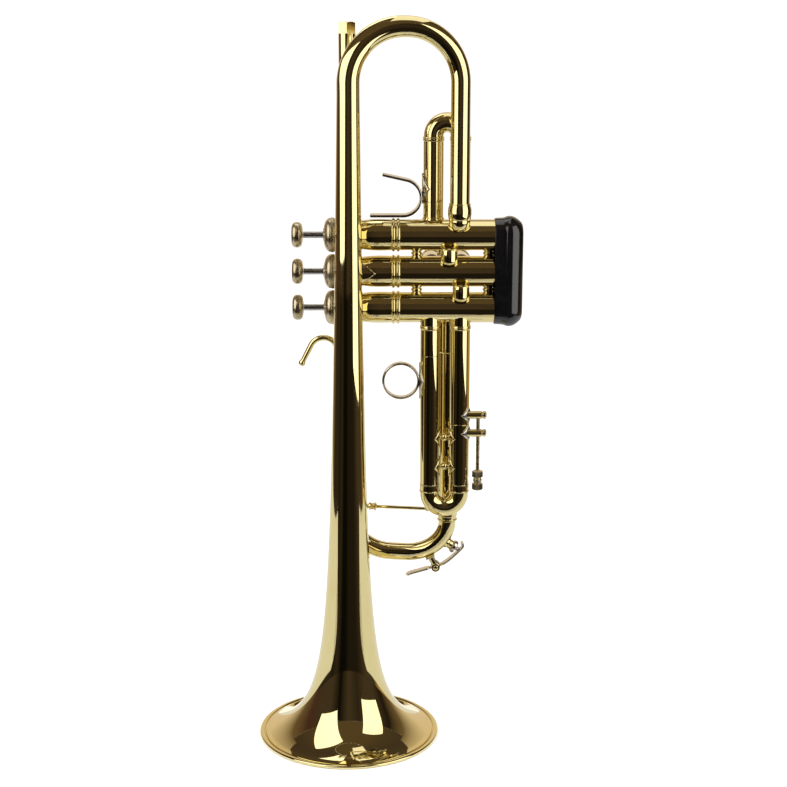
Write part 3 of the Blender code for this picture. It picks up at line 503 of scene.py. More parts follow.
def build_bell():
    """Rim, flare, tube and bow in one sheet, from the rim's rolled bead to the first valve."""
    tall, wide = 1.25, 1.75  # half sizes of the rolled bead
    lowest, growth = 3.0, 1.1  # the rings of the flare are further apart the higher they are
    heights = [lowest * growth**i for i in range(56)]
    heights = [z for z in heights if z < BOW_SEAM_Z - 6]
    rim = arc2d(tall, RIM_R - wide, tall, wide, 205, -88, 20)
    rim += [(tall, RIM_R - 3.9), (2.3, RIM_R - 4.25)]  # the groove inside the bead
    start_r = bell_radius(BOW_SEAM_Z)
    a = BELL + Vector((BELL_LEAN, 0, BOW_BEND_Z))
    b = BOW_END + Z * BOW_BEND_Z
    normal = (b - a).cross(Z).normalized()
    bend = bend_path(a, b, Z, (BOW_BEND_R, BOW_BEND_R), 64)

    def rings(wall, edge):
        rows = [(bell_axis(z), Z, r) for z, r in edge]
        rows += [(bell_axis(z), Z, bell_radius(z) - wall) for z in [*heights, BOW_SEAM_Z]]
        for i, (point, tangent) in enumerate(bend):
            rows.append((point, tangent, start_r + (BOW_TUBE_R - start_r) * i / len(bend) - wall))
        rows.append((BOW_END + Z * BOW.low.z, -Z, BOW_TUBE_R - wall))
        return [circle(point, tangent, normal, r, BELL_SIDES) for point, tangent, r in rows]

    inner_edge = [(0.6, RIM_R - 2 * wide - 0.2)]
    fine("bell_flare", loft(rings(0, rim) + rings(BELL_WALL, inner_edge)[::-1], closed=True),
         also=("bell_tube", "bell_bow"))


def build_ferrule():
    """The socket on the bow's far leg: a ball foot, a swelling and a mouth ring."""
    ferrule = box("bell_ferrule")
    foot = at_height(BOW_END, ferrule.low.z)
    mouth = ferrule.size.z
    ball = arc2d(8.4, 0, 8.0, 6.9, 178, 96, 12)
    swell = [(8.7, 6.75), (9.1, 7.0), (10.0, 7.35), (12.5, 7.65), (15.0, 7.65), (mouth - 2.6, 7.35)]
    ring = [(mouth - 1.5, 6.95), (mouth - 0.9, 6.85), (mouth - 0.7, 7.1), (mouth - 0.1, 7.1)]
    profile = ball + swell + ring + [(mouth, 6.0), (3.0, 3.0)]
    fine("bell_ferrule", turned(profile, foot, Z, closed=True))


# ---- valves


def build_casing(n, casing):
    """A casing that swells a little to its pair of beads, and its two caps."""
    base = Vector((casing.low.x, casing.mid.y, casing.mid.z))
    length = casing.size.x
    swell = [(0, -0.4), (17.0, -0.6), (19.0, -0.35), (21.0, -0.1), (24.0, 0.12), (28.0, 0.22), (32.0, 0.18)]
    outer = [(s, CASING_R + out) for s, out in swell]
    half_bead = 1.35
    for bead in (37.4, 40.6):
        outer.append((bead - half_bead, CASING_R))
        outer += arc2d(bead, CASING_R - 0.1, 1.15, 1.0, 175, 5, 8)
        outer.append((bead + half_bead, CASING_R))
    profile = outer + [(length, CASING_R), (length, CASING_BORE_R), (0, CASING_BORE_R)]
    fine(f"casing_{n}", turned(profile, base, X, 96, closed=True))

    hole_r = 2.65
    cap = [(-8.4, hole_r), (-8.4, 4.0), (-8.1, 4.6)] + arc2d(-3.6, 4.4, 4.3, 6.75, 172, 90, 12)
    cap += [(-3.2, 11.1), (-3.0, 11.35), (-1.6, 11.35), (-1.4, 11.0), (-0.5, 10.6), (-0.2, 10.9), (2.2, 10.9)]
    cap += [(2.4, 10.6), (2.4, CASING_R + 0.05), (-0.3, CASING_R), (-4.8, 8.0), (-6.4, hole_r)]
    shape = turned(cap, base, X, closed=True, ease=0.2, knurl=(-3.1, -1.5, 72, 0.12))
    fine(f"top_cap_{n}", shape, "aged_nickel")

    base.x = box(f"bottom_cap_{n}").low.x
    thread_r, pocket_r, vent_r = 8.45, 7.2, 2.0
    bottom = [(0, thread_r), (0, pocket_r), (6.8, pocket_r), (6.8, vent_r), (9.7, vent_r), (9.7, 6.0)]
    bottom += [(11.9, 8.0), (11.9, 9.3), (11.2, CASING_R), (5.8, CASING_R), (5.8, thread_r)]
    fine(f"bottom_cap_{n}", turned(bottom, base, X, closed=True, knurl=(6.5, 10.5, 48, 0.3)))


def build_valve(n, casing):
    """A piston with its stem, its finger button, and the spring under it, on a mesh of its own."""
    piston, button, spring = (box(f"{part}_{n}") for part in ("piston", "button", "valve_spring"))
    base = Vector((piston.low.x, casing.mid.y, casing.mid.z))
    barrel_r, barrel_bore_r, barrel_length, floor_depth = 8.4, 7.2, 80.0, 29.5
    bottom = piston.size.x
    top = bottom - barrel_length
    profile = [(0, 0), (0, STEM_R), (top, STEM_R), (top, barrel_r), (bottom, barrel_r)]
    profile += [(bottom, barrel_bore_r), (top + floor_depth, barrel_bore_r), (top + floor_depth, 0)]
    fine(f"piston_{n}", turned(profile, base, X))

    base.x = button.low.x
    length = button.size.x
    profile = [(0.9, 0), (0.75, 3.0), (0.35, 4.4), (0.0, 5.2)] + arc2d(2.9, 5.3, 2.9, 3.0, 172, 90, 9)
    profile += arc2d(3.9, 5.3, 2.9, 3.0, 90, 15, 8) + [(length - 0.2, 4.6), (length, 3.4), (length, 0)]
    fine(f"button_{n}", turned(profile, base, X), "aged_nickel")

    coil_r, wire, turns = 5.6, 0.5, 6.5
    base.x = spring.low.x + wire
    shape = coil(base, X, Y, coil_r, wire, turns, spring.size.x - 2 * wire)
    made = fine(f"valve_spring_{n}", shape)
    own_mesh(made)


def build_guard():
    """The rubber boot over the bottom caps: a rounded tray with a raised lip."""
    guard = box("valve_guard")
    middle = Vector((0, guard.mid.y, guard.mid.z))
    half_y, half_z = guard.size.y / 2, guard.size.z / 2
    length = guard.size.x

    def outline(x, inset):
        """The tray's outline at a depth, drawn in by inset."""
        corner = half_y - 1.5 - inset * 0.8
        steps = 16
        points = []
        for k, (sy, sz) in enumerate(((1, 1), (-1, 1), (-1, -1), (1, -1))):
            for i in range(steps + 1):
                a = pi / 2 * (k + i / steps)
                dy = sy * (half_y - inset - corner) + corner * cos(a)
                dz = sz * (half_z - inset - corner) + corner * sin(a)
                points.append(middle + X * (guard.low.x + x) + Y * dy + Z * dz)
        return points

    lip = ((0, 8.2), (0.1, 6.9), (0.4, 5.6), (0.9, 4.5), (1.6, 3.6))  # drop below the end, and inset
    outer = [(length - drop, inset) for drop, inset in lip]
    outer += [(15.6, 2.3), (14.2, 1.3), (13.2, 0.75), (12.4, 0.42), (11.2, 0.12), (10.0, 0), (8.4, 0.1)]
    outer += [(6.9, 0.7), (5.5, 1.1), (1.0, 1.3), (0.3, 1.4), (0, 1.65)]
    wall, depth = 1.95, 14.0
    inner = [(0, wall), (depth, wall)]
    fine("valve_guard", loft([outline(x, inset) for x, inset in [*eased(outer, 0.6), *inner]]))


def build_between_casings():
    """The turned struts and the knuckles that join neighbouring casings."""
    for pair, name in enumerate(("12", "23")):
        gap = (CASINGS[pair].mid + CASINGS[pair + 1].mid) / 2
        for place in ("inner", "outer"):
            node = f"baluster_{name}_{place}"
            half = [(2.9, 0), (2.9, 3.5), (2.2, 3.6), (1.7, 3.5), (1.3, 2.8), (1.1, 2.8), (0.7, 3.5)]
            half += [(0.3, 3.65), (0, 3.65)]
            base = Vector((box(node).mid.x, gap.y, gap.z))
            fine(node, turned(mirrored(half), base, Z, ease=0.15))
        node = f"knuckle_{name}"
        knuckle = box(node)
        half, r, dome = 5.9, 5.6, 3.2
        end = [(half, 0)] + arc2d(half - dome, r - dome, dome, dome, 8, 90, 8)
        base = Vector((knuckle.mid.x, gap.y - 8.6, gap.z - 0.8))
        fine(node, turned(mirrored(end), base, Z))


# ---- valve slides


def build_first_slide():
    legs = [box(f"first_slide_tube_{i}") for i in (1, 2)]
    joint = box("first_slide_crook").low.z
    for i, leg in enumerate(legs, 1):
        foot = at_height(leg.mid, CASINGS[0].mid.z + 4.0)
        seam = joint - foot.z - 0.25
        top = leg.high.z - foot.z
        profile = [(0, SLEEVE_R), (seam, SLEEVE_R), (seam, INNER_R), (top, INNER_R), (top, INNER_BORE_R)]
        profile += [(0, INNER_BORE_R)]
        solder = [(4.2, SLEEVE_R - 0.1), (5.4, SLEEVE_R + 0.9), (6.6, SLEEVE_R + 0.55)]
        solder += [(7.4, SLEEVE_R + 0.1), (7.4, 6.0), (4.2, 6.0)]
        shape = join(*(turned(outline, foot, Z, closed=True) for outline in (profile, solder)))
        fine(f"first_slide_tube_{i}", shape)
    sleeve, crook_r = 42.1, 6.4
    a, b = (at_height(leg.mid, joint + sleeve) for leg in legs)
    outer = [(sleeve, SLEEVE_R), (3.2, SLEEVE_R), (2.9, 7.0), (2.0, 7.1), (1.6, 6.75), (1.2, 7.1)]
    outer += [(0.6, 7.0), (0.3, crook_r)]
    bore = [(sleeve, SLEEVE_BORE_R), (2.6, SLEEVE_BORE_R), (2.5, INNER_BORE_R)]
    fine("first_slide_crook", slide_crook(a, b, Z, outer, crook_r, bore))


def build_thumb_saddle():
    saddle = box("thumb_saddle")
    bend_r, thick, half_width = 11.7, 0.95, 5.5
    leg = box("first_slide_tube_1").mid
    centre = Vector((leg.x - 19.8, leg.y, saddle.low.z + bend_r + thick))
    path = [(centre + Vector((dx, 0, -bend_r)), X) for dx in (-21.6, -21.2)]
    path += arc(centre, X, Z, bend_r, -pi / 2, pi * 0.43, 32)
    tip, tangent = path[-1]
    path += [(tip + tangent * s, tangent) for s in (8.0, 16.0, 16.4)]
    between = len(path) - 4
    end_width, next_width = half_width - 1.0, half_width - 0.3
    widths = [end_width, next_width] + [half_width] * between + [next_width, end_width]
    thicks = [thick * 0.45] + [thick] * (between + 2) + [thick * 0.45]
    flange = diamond(at_height(leg, centre.z + 5.9), Z, -X, SLEEVE_R, 10.0, 1.2, 1.0)
    fine("thumb_saddle", join(ribbon(path, widths, thicks, 0.25), flange))


def build_second_slide():
    legs = [box(f"second_slide_tube_{i}") for i in (1, 2)]
    for i, leg in enumerate(legs, 1):
        foot = Vector((leg.mid.x, CASINGS[1].mid.y + 5.0, leg.mid.z))
        end = leg.high.y - foot.y
        profile = [(0, SLEEVE_R), (end - 2.4, SLEEVE_R), (end - 2.1, 7.1), (end - 0.1, 7.1), (end, 6.9)]
        profile += [(end, SLEEVE_BORE_R), (0, SLEEVE_BORE_R)]
        fine(f"second_slide_tube_{i}", turned(profile, foot, Y, closed=True))
    a, b = (Vector((leg.mid.x, leg.high.y + 0.6, leg.mid.z)) for leg in legs)
    reach, shoulder, crook_r = 15.0, 0.35, 6.3
    outer = [(reach, INNER_R), (shoulder, INNER_R), (0.2, crook_r)]
    bore = [(reach, INNER_BORE_R), (shoulder, INNER_BORE_R)]
    fine("second_slide_crook", slide_crook(a, b, Y, outer, crook_r, bore))


def build_third_slide():
    left, right = box("third_slide_inner_tube"), box("third_slide_outer_tube")
    crook = box("third_slide_crook")
    top = CASINGS[2].mid.z - 3.0
    outer = [(0, SLEEVE_R), (-8.6, SLEEVE_R), (-8.9, 6.95), (-9.7, 7.05), (-10.0, 6.7), (-10.3, 7.05)]
    outer += [(-10.9, 6.95), (-11.2, SLEEVE_R)]
    seam_z = left.high.z - 26.2  # where the slide's sleeve meets the valve's on the left leg
    seam, end, mouth = seam_z - top, left.low.z - top, right.low.z - top
    left_rest = [(seam, SLEEVE_R), (seam, INNER_R), (end, INNER_R), (end, INNER_BORE_R), (0, INNER_BORE_R)]
    right_rest = [(mouth, SLEEVE_R), (mouth, SLEEVE_BORE_R), (0, SLEEVE_BORE_R)]
    for place, leg, rest in (("inner", left, left_rest), ("outer", right, right_rest)):
        base = at_height(leg.mid, top)
        fine(f"third_slide_{place}_tube", turned(outer + rest, base, Z, closed=True, ease=0.15))

    crook_r = 6.35
    bend_z = crook.low.z + crook_r * cos(pi / 12) + (right.mid.x - left.mid.x) / 2
    a, b = (at_height(leg.mid, bend_z) for leg in (left, right))
    ring = [(6.9, SLEEVE_R), (6.8, 6.72), (6.4, 6.76), (6.3, 6.66), (2.3, 6.76), (2.1, 7.0), (1.6, 7.0)]
    ring.append((1.3, crook_r))
    gap, step = 0.3, 5.5  # between the sleeves' ends, and from the bend to where the bore narrows
    left_reach = seam_z - gap - bend_z
    right_reach = right.low.z - gap - bend_z
    inner_reach = crook.high.z - bend_z
    leg_a = [(left_reach, SLEEVE_R)] + ring
    leg_b = ring[::-1] + [(right_reach, SLEEVE_R), (right_reach + 0.05, INNER_R), (inner_reach, INNER_R)]
    bore_a = [(left_reach, SLEEVE_BORE_R), (step + 0.1, SLEEVE_BORE_R), (step, INNER_BORE_R)]
    bore_b = [(step, INNER_BORE_R), (inner_reach, INNER_BORE_R)]
    shape = u_tube(a, b, -Z, (leg_a, crook_r, leg_b), (bore_a, INNER_BORE_R, bore_b))
    fine("third_slide_crook", shape)

    for i in (1, 2):
        node = f"third_slide_brace_{i}"
        height = box(node).mid.z
        middle = Vector(((a.x + b.x) / 2, (a.y + b.y) / 2, height))
        reach = (b.x - a.x) / 2 - SLEEVE_R - 0.2
        half = [(reach, 0), (reach, 1.5), (reach - 0.6, 1.2)] + arc2d(0, 0, 2.4, 2.9, 30, 90, 8)
        legs = [at_height(p, height) for p in (a, b)]
        flanges = [diamond(p, Z, d, SLEEVE_R, 7.2, 1.15, 0.75) for p, d in zip(legs, (X, -X))]
        fine(node, join(turned(mirrored(half), middle, X, 32, ease=0.15), *flanges), "brass")


def build_finger_ring():
    ring = box("finger_ring")
    leg = box("third_slide_inner_tube").mid
    outer_r, inner_r, half = 12.5, 10.9, 3.0
    centre = Vector((ring.low.x + outer_r, leg.y, ring.mid.z))
    side = [(half - 0.7, outer_r), (half, outer_r - 0.7), (half, inner_r + 0.3), (half - 0.3, inner_r)]
    flange = diamond(at_height(leg, centre.z), Z, -X, SLEEVE_R, 12.6, 0.85, 0.9)
    fine("finger_ring", join(turned(mirrored(side), centre, Y, 96, closed=True, ease=0.3), flange))


def build_stop():
    """The third slide's stop: two posts on flanges, and a rod with a nut."""
    leg = box("third_slide_outer_tube").mid
    rod = box("stop_rod")
    turn, post_r = 0.5, 2.65  # turn is the angle of the flanges, from facing +X towards -Y
    facing = X * cos(turn) - Y * sin(turn)
    for node in ("stop_post_fixed", "stop_post_sliding"):
        post = box(node)
        start = Vector((leg.x + 4.2, rod.mid.y, post.mid.z))
        length = post.high.x - start.x
        tip = [(-3.2, post_r), (-3.0, 2.3), (-2.4, 2.3), (-2.2, post_r), (-0.7, post_r), (-0.3, 2.1)]
        profile = [(0, 0), (0, 2.6)] + [(length + s, r) for s, r in tip] + [(length, 1.6), (length, 0)]
        fine(node, turned(profile, start, X, 40, ease=0.15))
        spot = at_height(leg, post.mid.z)
        flange = diamond(spot, Z, facing, SLEEVE_R, 5.2, 0.95, 0.8)
        piece(node.replace("post", "flange"), flange, "nickel", BODY_OF[node], "nickel")
        # Each flange carries a smaller diamond in darker nickel: a painted dark reflection, where the flat
        # flange face would mirror the dark studio.
        face = diamond(spot, Z, facing, SLEEVE_R, 4.4, 0.8, 0.84)
        piece(node.replace("post", "flange_painted_dark_face"), face, "painted_dark_reflection", BODY_OF[node], "nickel")
    base = at_height(rod.mid, rod.low.z)
    length = rod.size.z
    r = rod.size.x / 2
    profile = [(0, 0), (0, r - 0.3), (0.4, r), (length - 0.4, r), (length, r - 0.3), (length, 0)]
    fine("stop_rod", turned(profile, base, Z, 32), "aged_nickel")
    nut = box("stop_nut")
    base = at_height(rod.mid, nut.low.z)
    height = nut.size.z
    thick, hole_r = 4.4, 1.5  # each knurled disc
    disc = [(0, 3.2), (0.4, 3.7), (4.0, 3.7), (thick, 3.2), (thick, hole_r), (0, hole_r)]
    discs = []
    for shift in (0, height - thick):
        outline = [(s + shift, r) for s, r in disc]
        knurl = (0.3 + shift, 4.1 + shift, 30, 0.35)
        discs.append(turned(outline, base, Z, closed=True, knurl=knurl))
    low, high = 4.2, height - 4.2
    waist = [(low, 2.2), (5.2, 2.3), (5.8, 3.0), (7.2, 3.0), (7.8, 2.3), (high, 2.2), (high, hole_r)]
    waist = turned(waist + [(low, hole_r)], base, Z, closed=True)
    fine("stop_nut", join(*discs, waist), "aged_nickel")


# ---- leadpipe and tuning slide


def build_leadpipe():
    """The leadpipe, and its receiver with a six-sided nut at the mouth."""
    pipe = box("leadpipe")
    base = at_height(PIPE.mid, pipe.low.z)
    length = pipe.size.z
    outer = [(0, 7.2), (0.3, 7.45), (10.5, 7.45), (11.5, 7.1), (13.0, 6.2), (length - 12, 5.3), (length, 5.2)]
    inner = [(length, 4.4), (12, 5.0), (9, 6.85), (0, 6.85)]
    fine("leadpipe", turned(outer + inner, base, Z, closed=True))

    receiver = box("mouthpiece_receiver")
    base = at_height(PIPE.mid, receiver.low.z)
    top = receiver.size.z
    nut, nut_corner_r, neck_r, mouth_r, sides = top - 7.6, 6.4, 5.6, 4.9, 96
    outer = [(0, 5.5), (0.8, 6.1), (2.6, 6.15), (3.4, 5.7), (3.9, 5.7), (4.4, 6.1), (5.4, 6.0)]
    outer += [(6.2, neck_r), (nut + 0.6, neck_r)]
    inner = [(nut + 0.6, mouth_r), (12.0, 4.2), (11.0, 4.0), (0, 4.0)]
    body = turned(outer + inner, base, Z, closed=True)
    section = [(nut, 5.1), (nut, neck_r), (nut + 0.5, nut_corner_r), (top - 0.5, nut_corner_r)]
    section += [(top, neck_r), (top, mouth_r)]
    rings = []
    for s, r in eased(section, 0.3):
        ring = []
        for i in range(sides):
            a = 2 * pi * i / sides
            flat = 0.98 * nut_corner_r * cos(pi / 6) / cos(a % (pi / 3) - pi / 6)
            reach = min(r, flat) if r > 5.0 else r
            ring.append(base + Z * s + (Y * cos(a) - X * sin(a)) * reach)
        rings.append(ring)
    rings += [circle(base + Z * s, Z, Y, r, sides) for s, r in ((top - 0.4, 4.7), (nut, 4.5))]
    fine("mouthpiece_receiver", join(body, loft(rings, closed=True)))


def build_tuning_slide():
    """The outer tubes, the crook with the water key's nipple, and the brace between them."""
    base = at_height(PIPE.mid, PIPE.low.z)
    ring = [(0, 6.75), (0.2, 7.0), (1.1, 7.0), (1.4, 6.5), (3.2, 6.5), (3.5, 7.0), (6.2, 7.0)]
    ring.append((6.6, SLEEVE_R))
    length = PIPE.size.z
    profile = ring + [(length, SLEEVE_R), (length, SLEEVE_BORE_R), (0, SLEEVE_BORE_R)]
    fine("tuning_tube_upper", turned(profile, base, Z, closed=True, ease=0.15))

    base = at_height(LOWER.mid, LOWER.low.z)
    top = LOWER.size.z
    ring = [(s, r - 0.1) for s, r in ring]
    outer = ring + [(118, 6.4), (118.5, 7.1)] + arc2d(top - 8, 0, 8, 7.1, 90, 8, 10)
    inner = [(top - 3, 0.9), (top - 6, 4.4), (115, 5.2), (114, 6.1), (0, 6.1)]
    fine("tuning_tube_lower", turned(outer + inner, base, Z, closed=True, ease=0.15))

    a = at_height(PIPE.mid, PIPE.low.z - TUNING_BEND_DROP)
    b = at_height(LOWER.mid, LOWER.low.z - TUNING_BEND_DROP)
    reach, shoulder = 95.0, 0.4
    outer = [(reach, INNER_R), (shoulder, INNER_R), (0.3, TUNING_CROOK_R)]
    bore = [(reach, INNER_BORE_R), (shoulder, INNER_BORE_R)]
    crook = slide_crook(a, b, -Z, outer, TUNING_CROOK_R, bore, TUNING_BEND)
    nipple = [(-2.0, 0), (-2.0, 4.2), (0.3, 4.0), (0.9, 3.3), (3.2, 3.3), (3.6, 2.9), (3.6, 1.7)]
    nipple += [(0, 1.7), (0, 0)]
    stub = turned(nipple, KEY_CENTRE + NIPPLE * NIPPLE_FOOT, NIPPLE, 40, ease=0.15)
    fine("tuning_crook", join(crook, stub))

    brace = box("tuning_brace")
    height = brace.mid.z
    start, end = at_height(a, height), at_height(b, height)
    across = (end - start).normalized()
    length = (end - start).length
    near, far = SLEEVE_R, length - 6.3  # where the bar meets each tube
    profile = [(near, 0), (near, 2.9), (near + 1.0, 2.2), (near + 6.0, 1.7), (13.2, 1.7), (13.6, 2.5)]
    profile += [(14.6, 2.7), (14.9, 2.3), (16.9, 2.3), (17.2, 2.7), (18.4, 2.7), (18.9, 1.2)]
    foot = ((9, 1.2), (8, 1.9), (6.5, 1.9), (6, 1.5), (2, 2.0), (0.6, 2.9), (0, 2.9), (0, 0))
    profile += [(far - s, r) for s, r in foot]
    flanges = [diamond(start, Z, across, SLEEVE_R, 3.6, 0.75), diamond(end, Z, -across, 6.45, 3.6, 0.75)]
    fine("tuning_brace", join(turned(profile, start, across, 32, ease=0.15), *flanges))


def build_pinky_hook():
    hook = box("pinky_hook")
    height = hook.high.z - 8.3
    pipe = at_height(PIPE.mid, height)
    bend_r = 9.5
    bend = arc(pipe + Vector((-17.2, 0, -3.2)), X, Z, bend_r, pi * 0.2, pi * 0.85, 28)
    start = pipe - X * SLEEVE_R
    approach = smooth_path([start, start + Vector((-1.4, 0, -0.1)), bend[0][0]], 6)[:-1]
    path = [(p, t) for p, t in approach if p.x > bend[0][0].x + 0.3] + bend
    tip, tangent = bend[-1]
    reach = [(6.0, 1.9), (10.6, 1.8), (11.8, 1.8), (12.5, 2.0), (13.3, 2.35), (14.1, 2.4), (14.9, 2.2)]
    reach += [(15.5, 1.6), (15.85, 0.7)]
    wire_r = 1.95
    radii = [wire_r] * len(path) + [r for _, r in reach]
    path += [(tip + tangent * s, tangent) for s, _ in reach]
    rod = loft([circle(point, tangent, Y, r, 24) for (point, tangent), r in zip(path, radii)])
    fine("pinky_hook", join(rod, diamond(pipe, Z, -X, SLEEVE_R, 6.0, 0.8)))


def build_braces():
    """The braces from the bell to the second casing, and from the bell to the leadpipe."""
    casing = CASINGS[1]
    node = box("bell_casing_brace")
    z = casing.mid.z
    x = node.mid.x
    front = casing.mid.y - CASING_R
    start = Vector((x - 4, BELL.y + 6.0, z))
    pillar = turned([(0, 0), (0, 2.6), (front - start.y, 2.8), (front - start.y, 0)], start, Y, 32)
    flange = diamond(Vector((x, casing.mid.y, z)), X, -Y, CASING_R, 11.4, 0.85, 0.9)
    fine("bell_casing_brace", join(pillar, flange))

    node = box("leadpipe_brace")
    z = node.mid.z
    pipe = at_height(PIPE.mid, z)
    start, end = bell_radius(z) - 0.2, pipe.y - BELL.y - 5.2
    middle = (start + end) / 2
    half = [(start, 0), (start, 2.2), (start + 1.0, 1.7), (middle - 3.2, 1.6), (middle - 2.6, 2.3)]
    ball = arc2d(middle, 0, 2.4, 2.9, 150, 30, 8)
    profile = half + ball + [(2 * middle - s, r) for s, r in reversed(half)]
    bar = turned(profile, Vector((BELL.x + 0.9, BELL.y, z)), Y, 32, ease=0.15)
    flanges = [diamond(bell_axis(z), Z, Y, bell_radius(z), 6.5, 0.8), diamond(pipe, Z, -Y, 5.4, 6.5, 0.9)]
    fine("leadpipe_brace", join(bar, *flanges))


# ---- water key


def build_water_key():
    radial = (KEY_PIVOT - KEY_CENTRE).normalized()
    along = radial.cross(Y)
    foot = KEY_CENTRE + radial * (POST_FOOT - 0.3)
    barrel = [(2.3, 1.2), (2.3, 2.8), (2.5, 3.0), (4.4, 3.0), (4.6, 2.8), (4.6, 1.2)]
    head = [(4.3, 0), (4.3, 1.8), (4.9, 1.8), (5.2, 1.4), (5.3, 0)]
    lugs = []
    for side in (-Y, Y):
        lugs.append(turned(barrel, KEY_PIVOT, side, 36, closed=True, ease=0.15))
        ends = [(end + side * 3.4, radial) for end in (foot, KEY_PIVOT - radial * 1.5)]
        lugs.append(ribbon(ends, (1.9, 1.5), (1.1, 1.0), 0.5, along))
        lugs.append(turned(head, KEY_PIVOT, side, 24, ease=0.15))
    lugs.append(turned([(-4.4, 0), (-4.4, 1.3), (4.4, 1.3), (4.4, 0)], KEY_PIVOT, Y, 24))
    width = [(foot + along * reach, along) for reach in (-3.2, 3.2)]
    plate = ribbon(width, (4.7, 4.7), (0.9, 0.9), 0.4)
    fine("water_key_post", join(*lugs, plate))

    outline = [(-20.4, -6.4), (-17.0, -5.0), (-12.0, -3.5), (-4.0, -1.2), (1.0, 0.0), (6.0, 2.4), (11.4, 6.6)]
    outline += [(16.3, 11.4), (19.0, 14.8), (18.0, 17.0)]
    path = smooth_path([KEY_PIVOT + Vector((dx, 0, dz)) for dx, dz in outline], 6)
    widths, thicks = [], []
    for point, _ in path:
        s = point.x - KEY_PIVOT.x
        clear = min(1, max(0, (abs(s) - 3.4) / 2.5))  # the strip is narrow between the post's lugs
        end = min(1, max(0.35, (s + 20.9) / 1.6))
        widths.append((1.8 + 1.3 * clear * clear * (3 - 2 * clear)) * end)
        thicks.append(0.9 * min(1, end + 0.3))
    lever = ribbon(path, widths, thicks, 0.45)
    barrel = [(-1.9, 1.4), (-1.9, 2.4), (1.9, 2.4), (1.9, 1.4)]
    sleeve = turned(barrel, KEY_PIVOT, Y, 32, closed=True, ease=0.15)
    seat = KEY_CENTRE + NIPPLE * (NIPPLE_FOOT + 3.8)
    cup = [(0.3, 3.5), (0.0, 4.3), (0.6, 4.5), (2.2, 4.5), (2.7, 4.1), (2.9, 2.6), (2.9, 0), (1.9, 0)]
    cup.append((1.9, 3.5))
    cup_shape = turned(cup, seat, NIPPLE, 40, ease=0.2)
    arm = turned([(2.6, 0), (2.6, 2.2), (3.6, 1.5), (5.6, 1.3), (5.6, 0)], seat, NIPPLE, 24, ease=0.15)
    fine("water_key_lever", join(lever, sleeve, cup_shape, arm))
    cork = turned([(-0.1, 0), (-0.1, 3.2), (0.1, 3.4), (1.8, 3.4), (1.8, 0)], seat, NIPPLE, 32, ease=0.15)
    piece("water_key_cork", cork, "cork", "water_key", "nickel")
    springs = [coil(KEY_PIVOT + Y * reach, side, -X, 2.9, 0.3, 0.9, 0.25, 20, 8)
               for side, reach in ((-Y, -2.2), (Y, 2.0))]
    piece("water_key_spring", join(*springs), "steel", "water_key", "steel")


# ---- studio

DOME_EYE, DOME_R = Vector((0, 0, 240)), 2200
TABLE_SIDE, TABLE_FRONT, HORIZON = 600, 235, 2600  # from the bell's axis
LIT_SPOT, FLOOR_REACH = Vector((0, 0, 0.2)), 12.0  # metres, as the lights' places are


def panel(name, points, faces, colours, strength):
    """A glowing surface round the trumpet that shows only in reflections, with a colour per point."""
    mesh = bpy.data.meshes.new(name)
    mesh.from_pydata([(BELL + Vector(p)) * MM for p in points], [], faces)
    tint = mesh.color_attributes.new("tint", "FLOAT_COLOR", "POINT")
    for entry, colour in zip(tint.data, colours):
        entry.color = (*colour, 1)
    material = bpy.data.materials.new(name)
    material.use_nodes = True
    tree = material.node_tree
    tree.nodes.clear()
    source = tree.nodes.new("ShaderNodeAttribute")
    source.attribute_name = "tint"
    glow = tree.nodes.new("ShaderNodeEmission")
    glow.inputs["Strength"].default_value = strength
    output = tree.nodes.new("ShaderNodeOutputMaterial")
    tree.links.new(source.outputs["Color"], glow.inputs["Color"])
    tree.links.new(glow.outputs["Emission"], output.inputs["Surface"])
    mesh.materials.append(material)
    obj = add_object(name, mesh)
    obj.visible_camera = obj.visible_diffuse = obj.visible_shadow = False


def direction(azimuth, elevation):
    """A unit vector. Azimuth 0 is -Y, towards the camera, and 90 is +X."""
    az, el = radians(azimuth), radians(elevation)
    return Vector((sin(az) * cos(el), -cos(az) * cos(el), sin(el)))


def sheet(name, colours, rows, place):
    """A panel whose colours run along u. place gives a point for u and v, each from 0 to 1."""
    steps = 8 * (len(colours) - 1)
    points, tints = [], []
    for i in range(steps + 1):
        stop = i * (len(colours) - 1) / steps
        k = min(int(stop), len(colours) - 2)
        tint = Vector(colours[k]).lerp(Vector(colours[k + 1]), stop - k)
        points += [place(i / steps, j / rows) for j in range(rows + 1)]
        tints += [tint] * (rows + 1)
    row = rows + 1
    faces = [
        (i * row + j, i * row + j + 1, (i + 1) * row + j + 1, (i + 1) * row + j)
        for i in range(steps)
        for j in range(rows)
    ]
    panel(name, points, faces, tints, 1.0)


def wall(name, azimuths, elevations, colours):
    """Part of a dome, between two azimuths and two elevations. colours run along the azimuth."""
    (left, right), (low, high) = azimuths, elevations

    def place(u, v):
        return DOME_EYE + direction(left + (right - left) * u, low + (high - low) * v) * DOME_R

    sheet(name, colours, 8, place)


def softbox(name, corners, strength=1.9):
    """A lit screen. Each corner is (azimuth, distance from the bell's axis, height)."""
    points = [direction(a, 0) * d + Z * h for a, d, h in corners]
    panel(name, points, [(0, 1, 2, 3)], [(1, 0.98, 0.93)] * 4, strength)


def ground(name, azimuths, distances, colours):
    """A cover just over the floor, between two azimuths. distances gives its near and far edges
    for an azimuth."""
    left, right = azimuths

    def place(u, v):
        azimuth = left + (right - left) * u
        near, far = distances(azimuth)
        return direction(azimuth, 0) * (near + (far - near) * v) + Z * 4

    sheet(name, colours, 1, place)


def area_light(name, place, power):
    light = bpy.data.lights.new(name, "AREA")
    light.shape = "RECTANGLE"
    light.size, light.size_y = 1.0, 1.2
    light.energy = power
    obj = add_object(name, light)
    obj.location = place
    obj.rotation_euler = (LIT_SPOT - obj.location).to_track_quat("-Z", "Y").to_euler()
    obj.visible_glossy = False


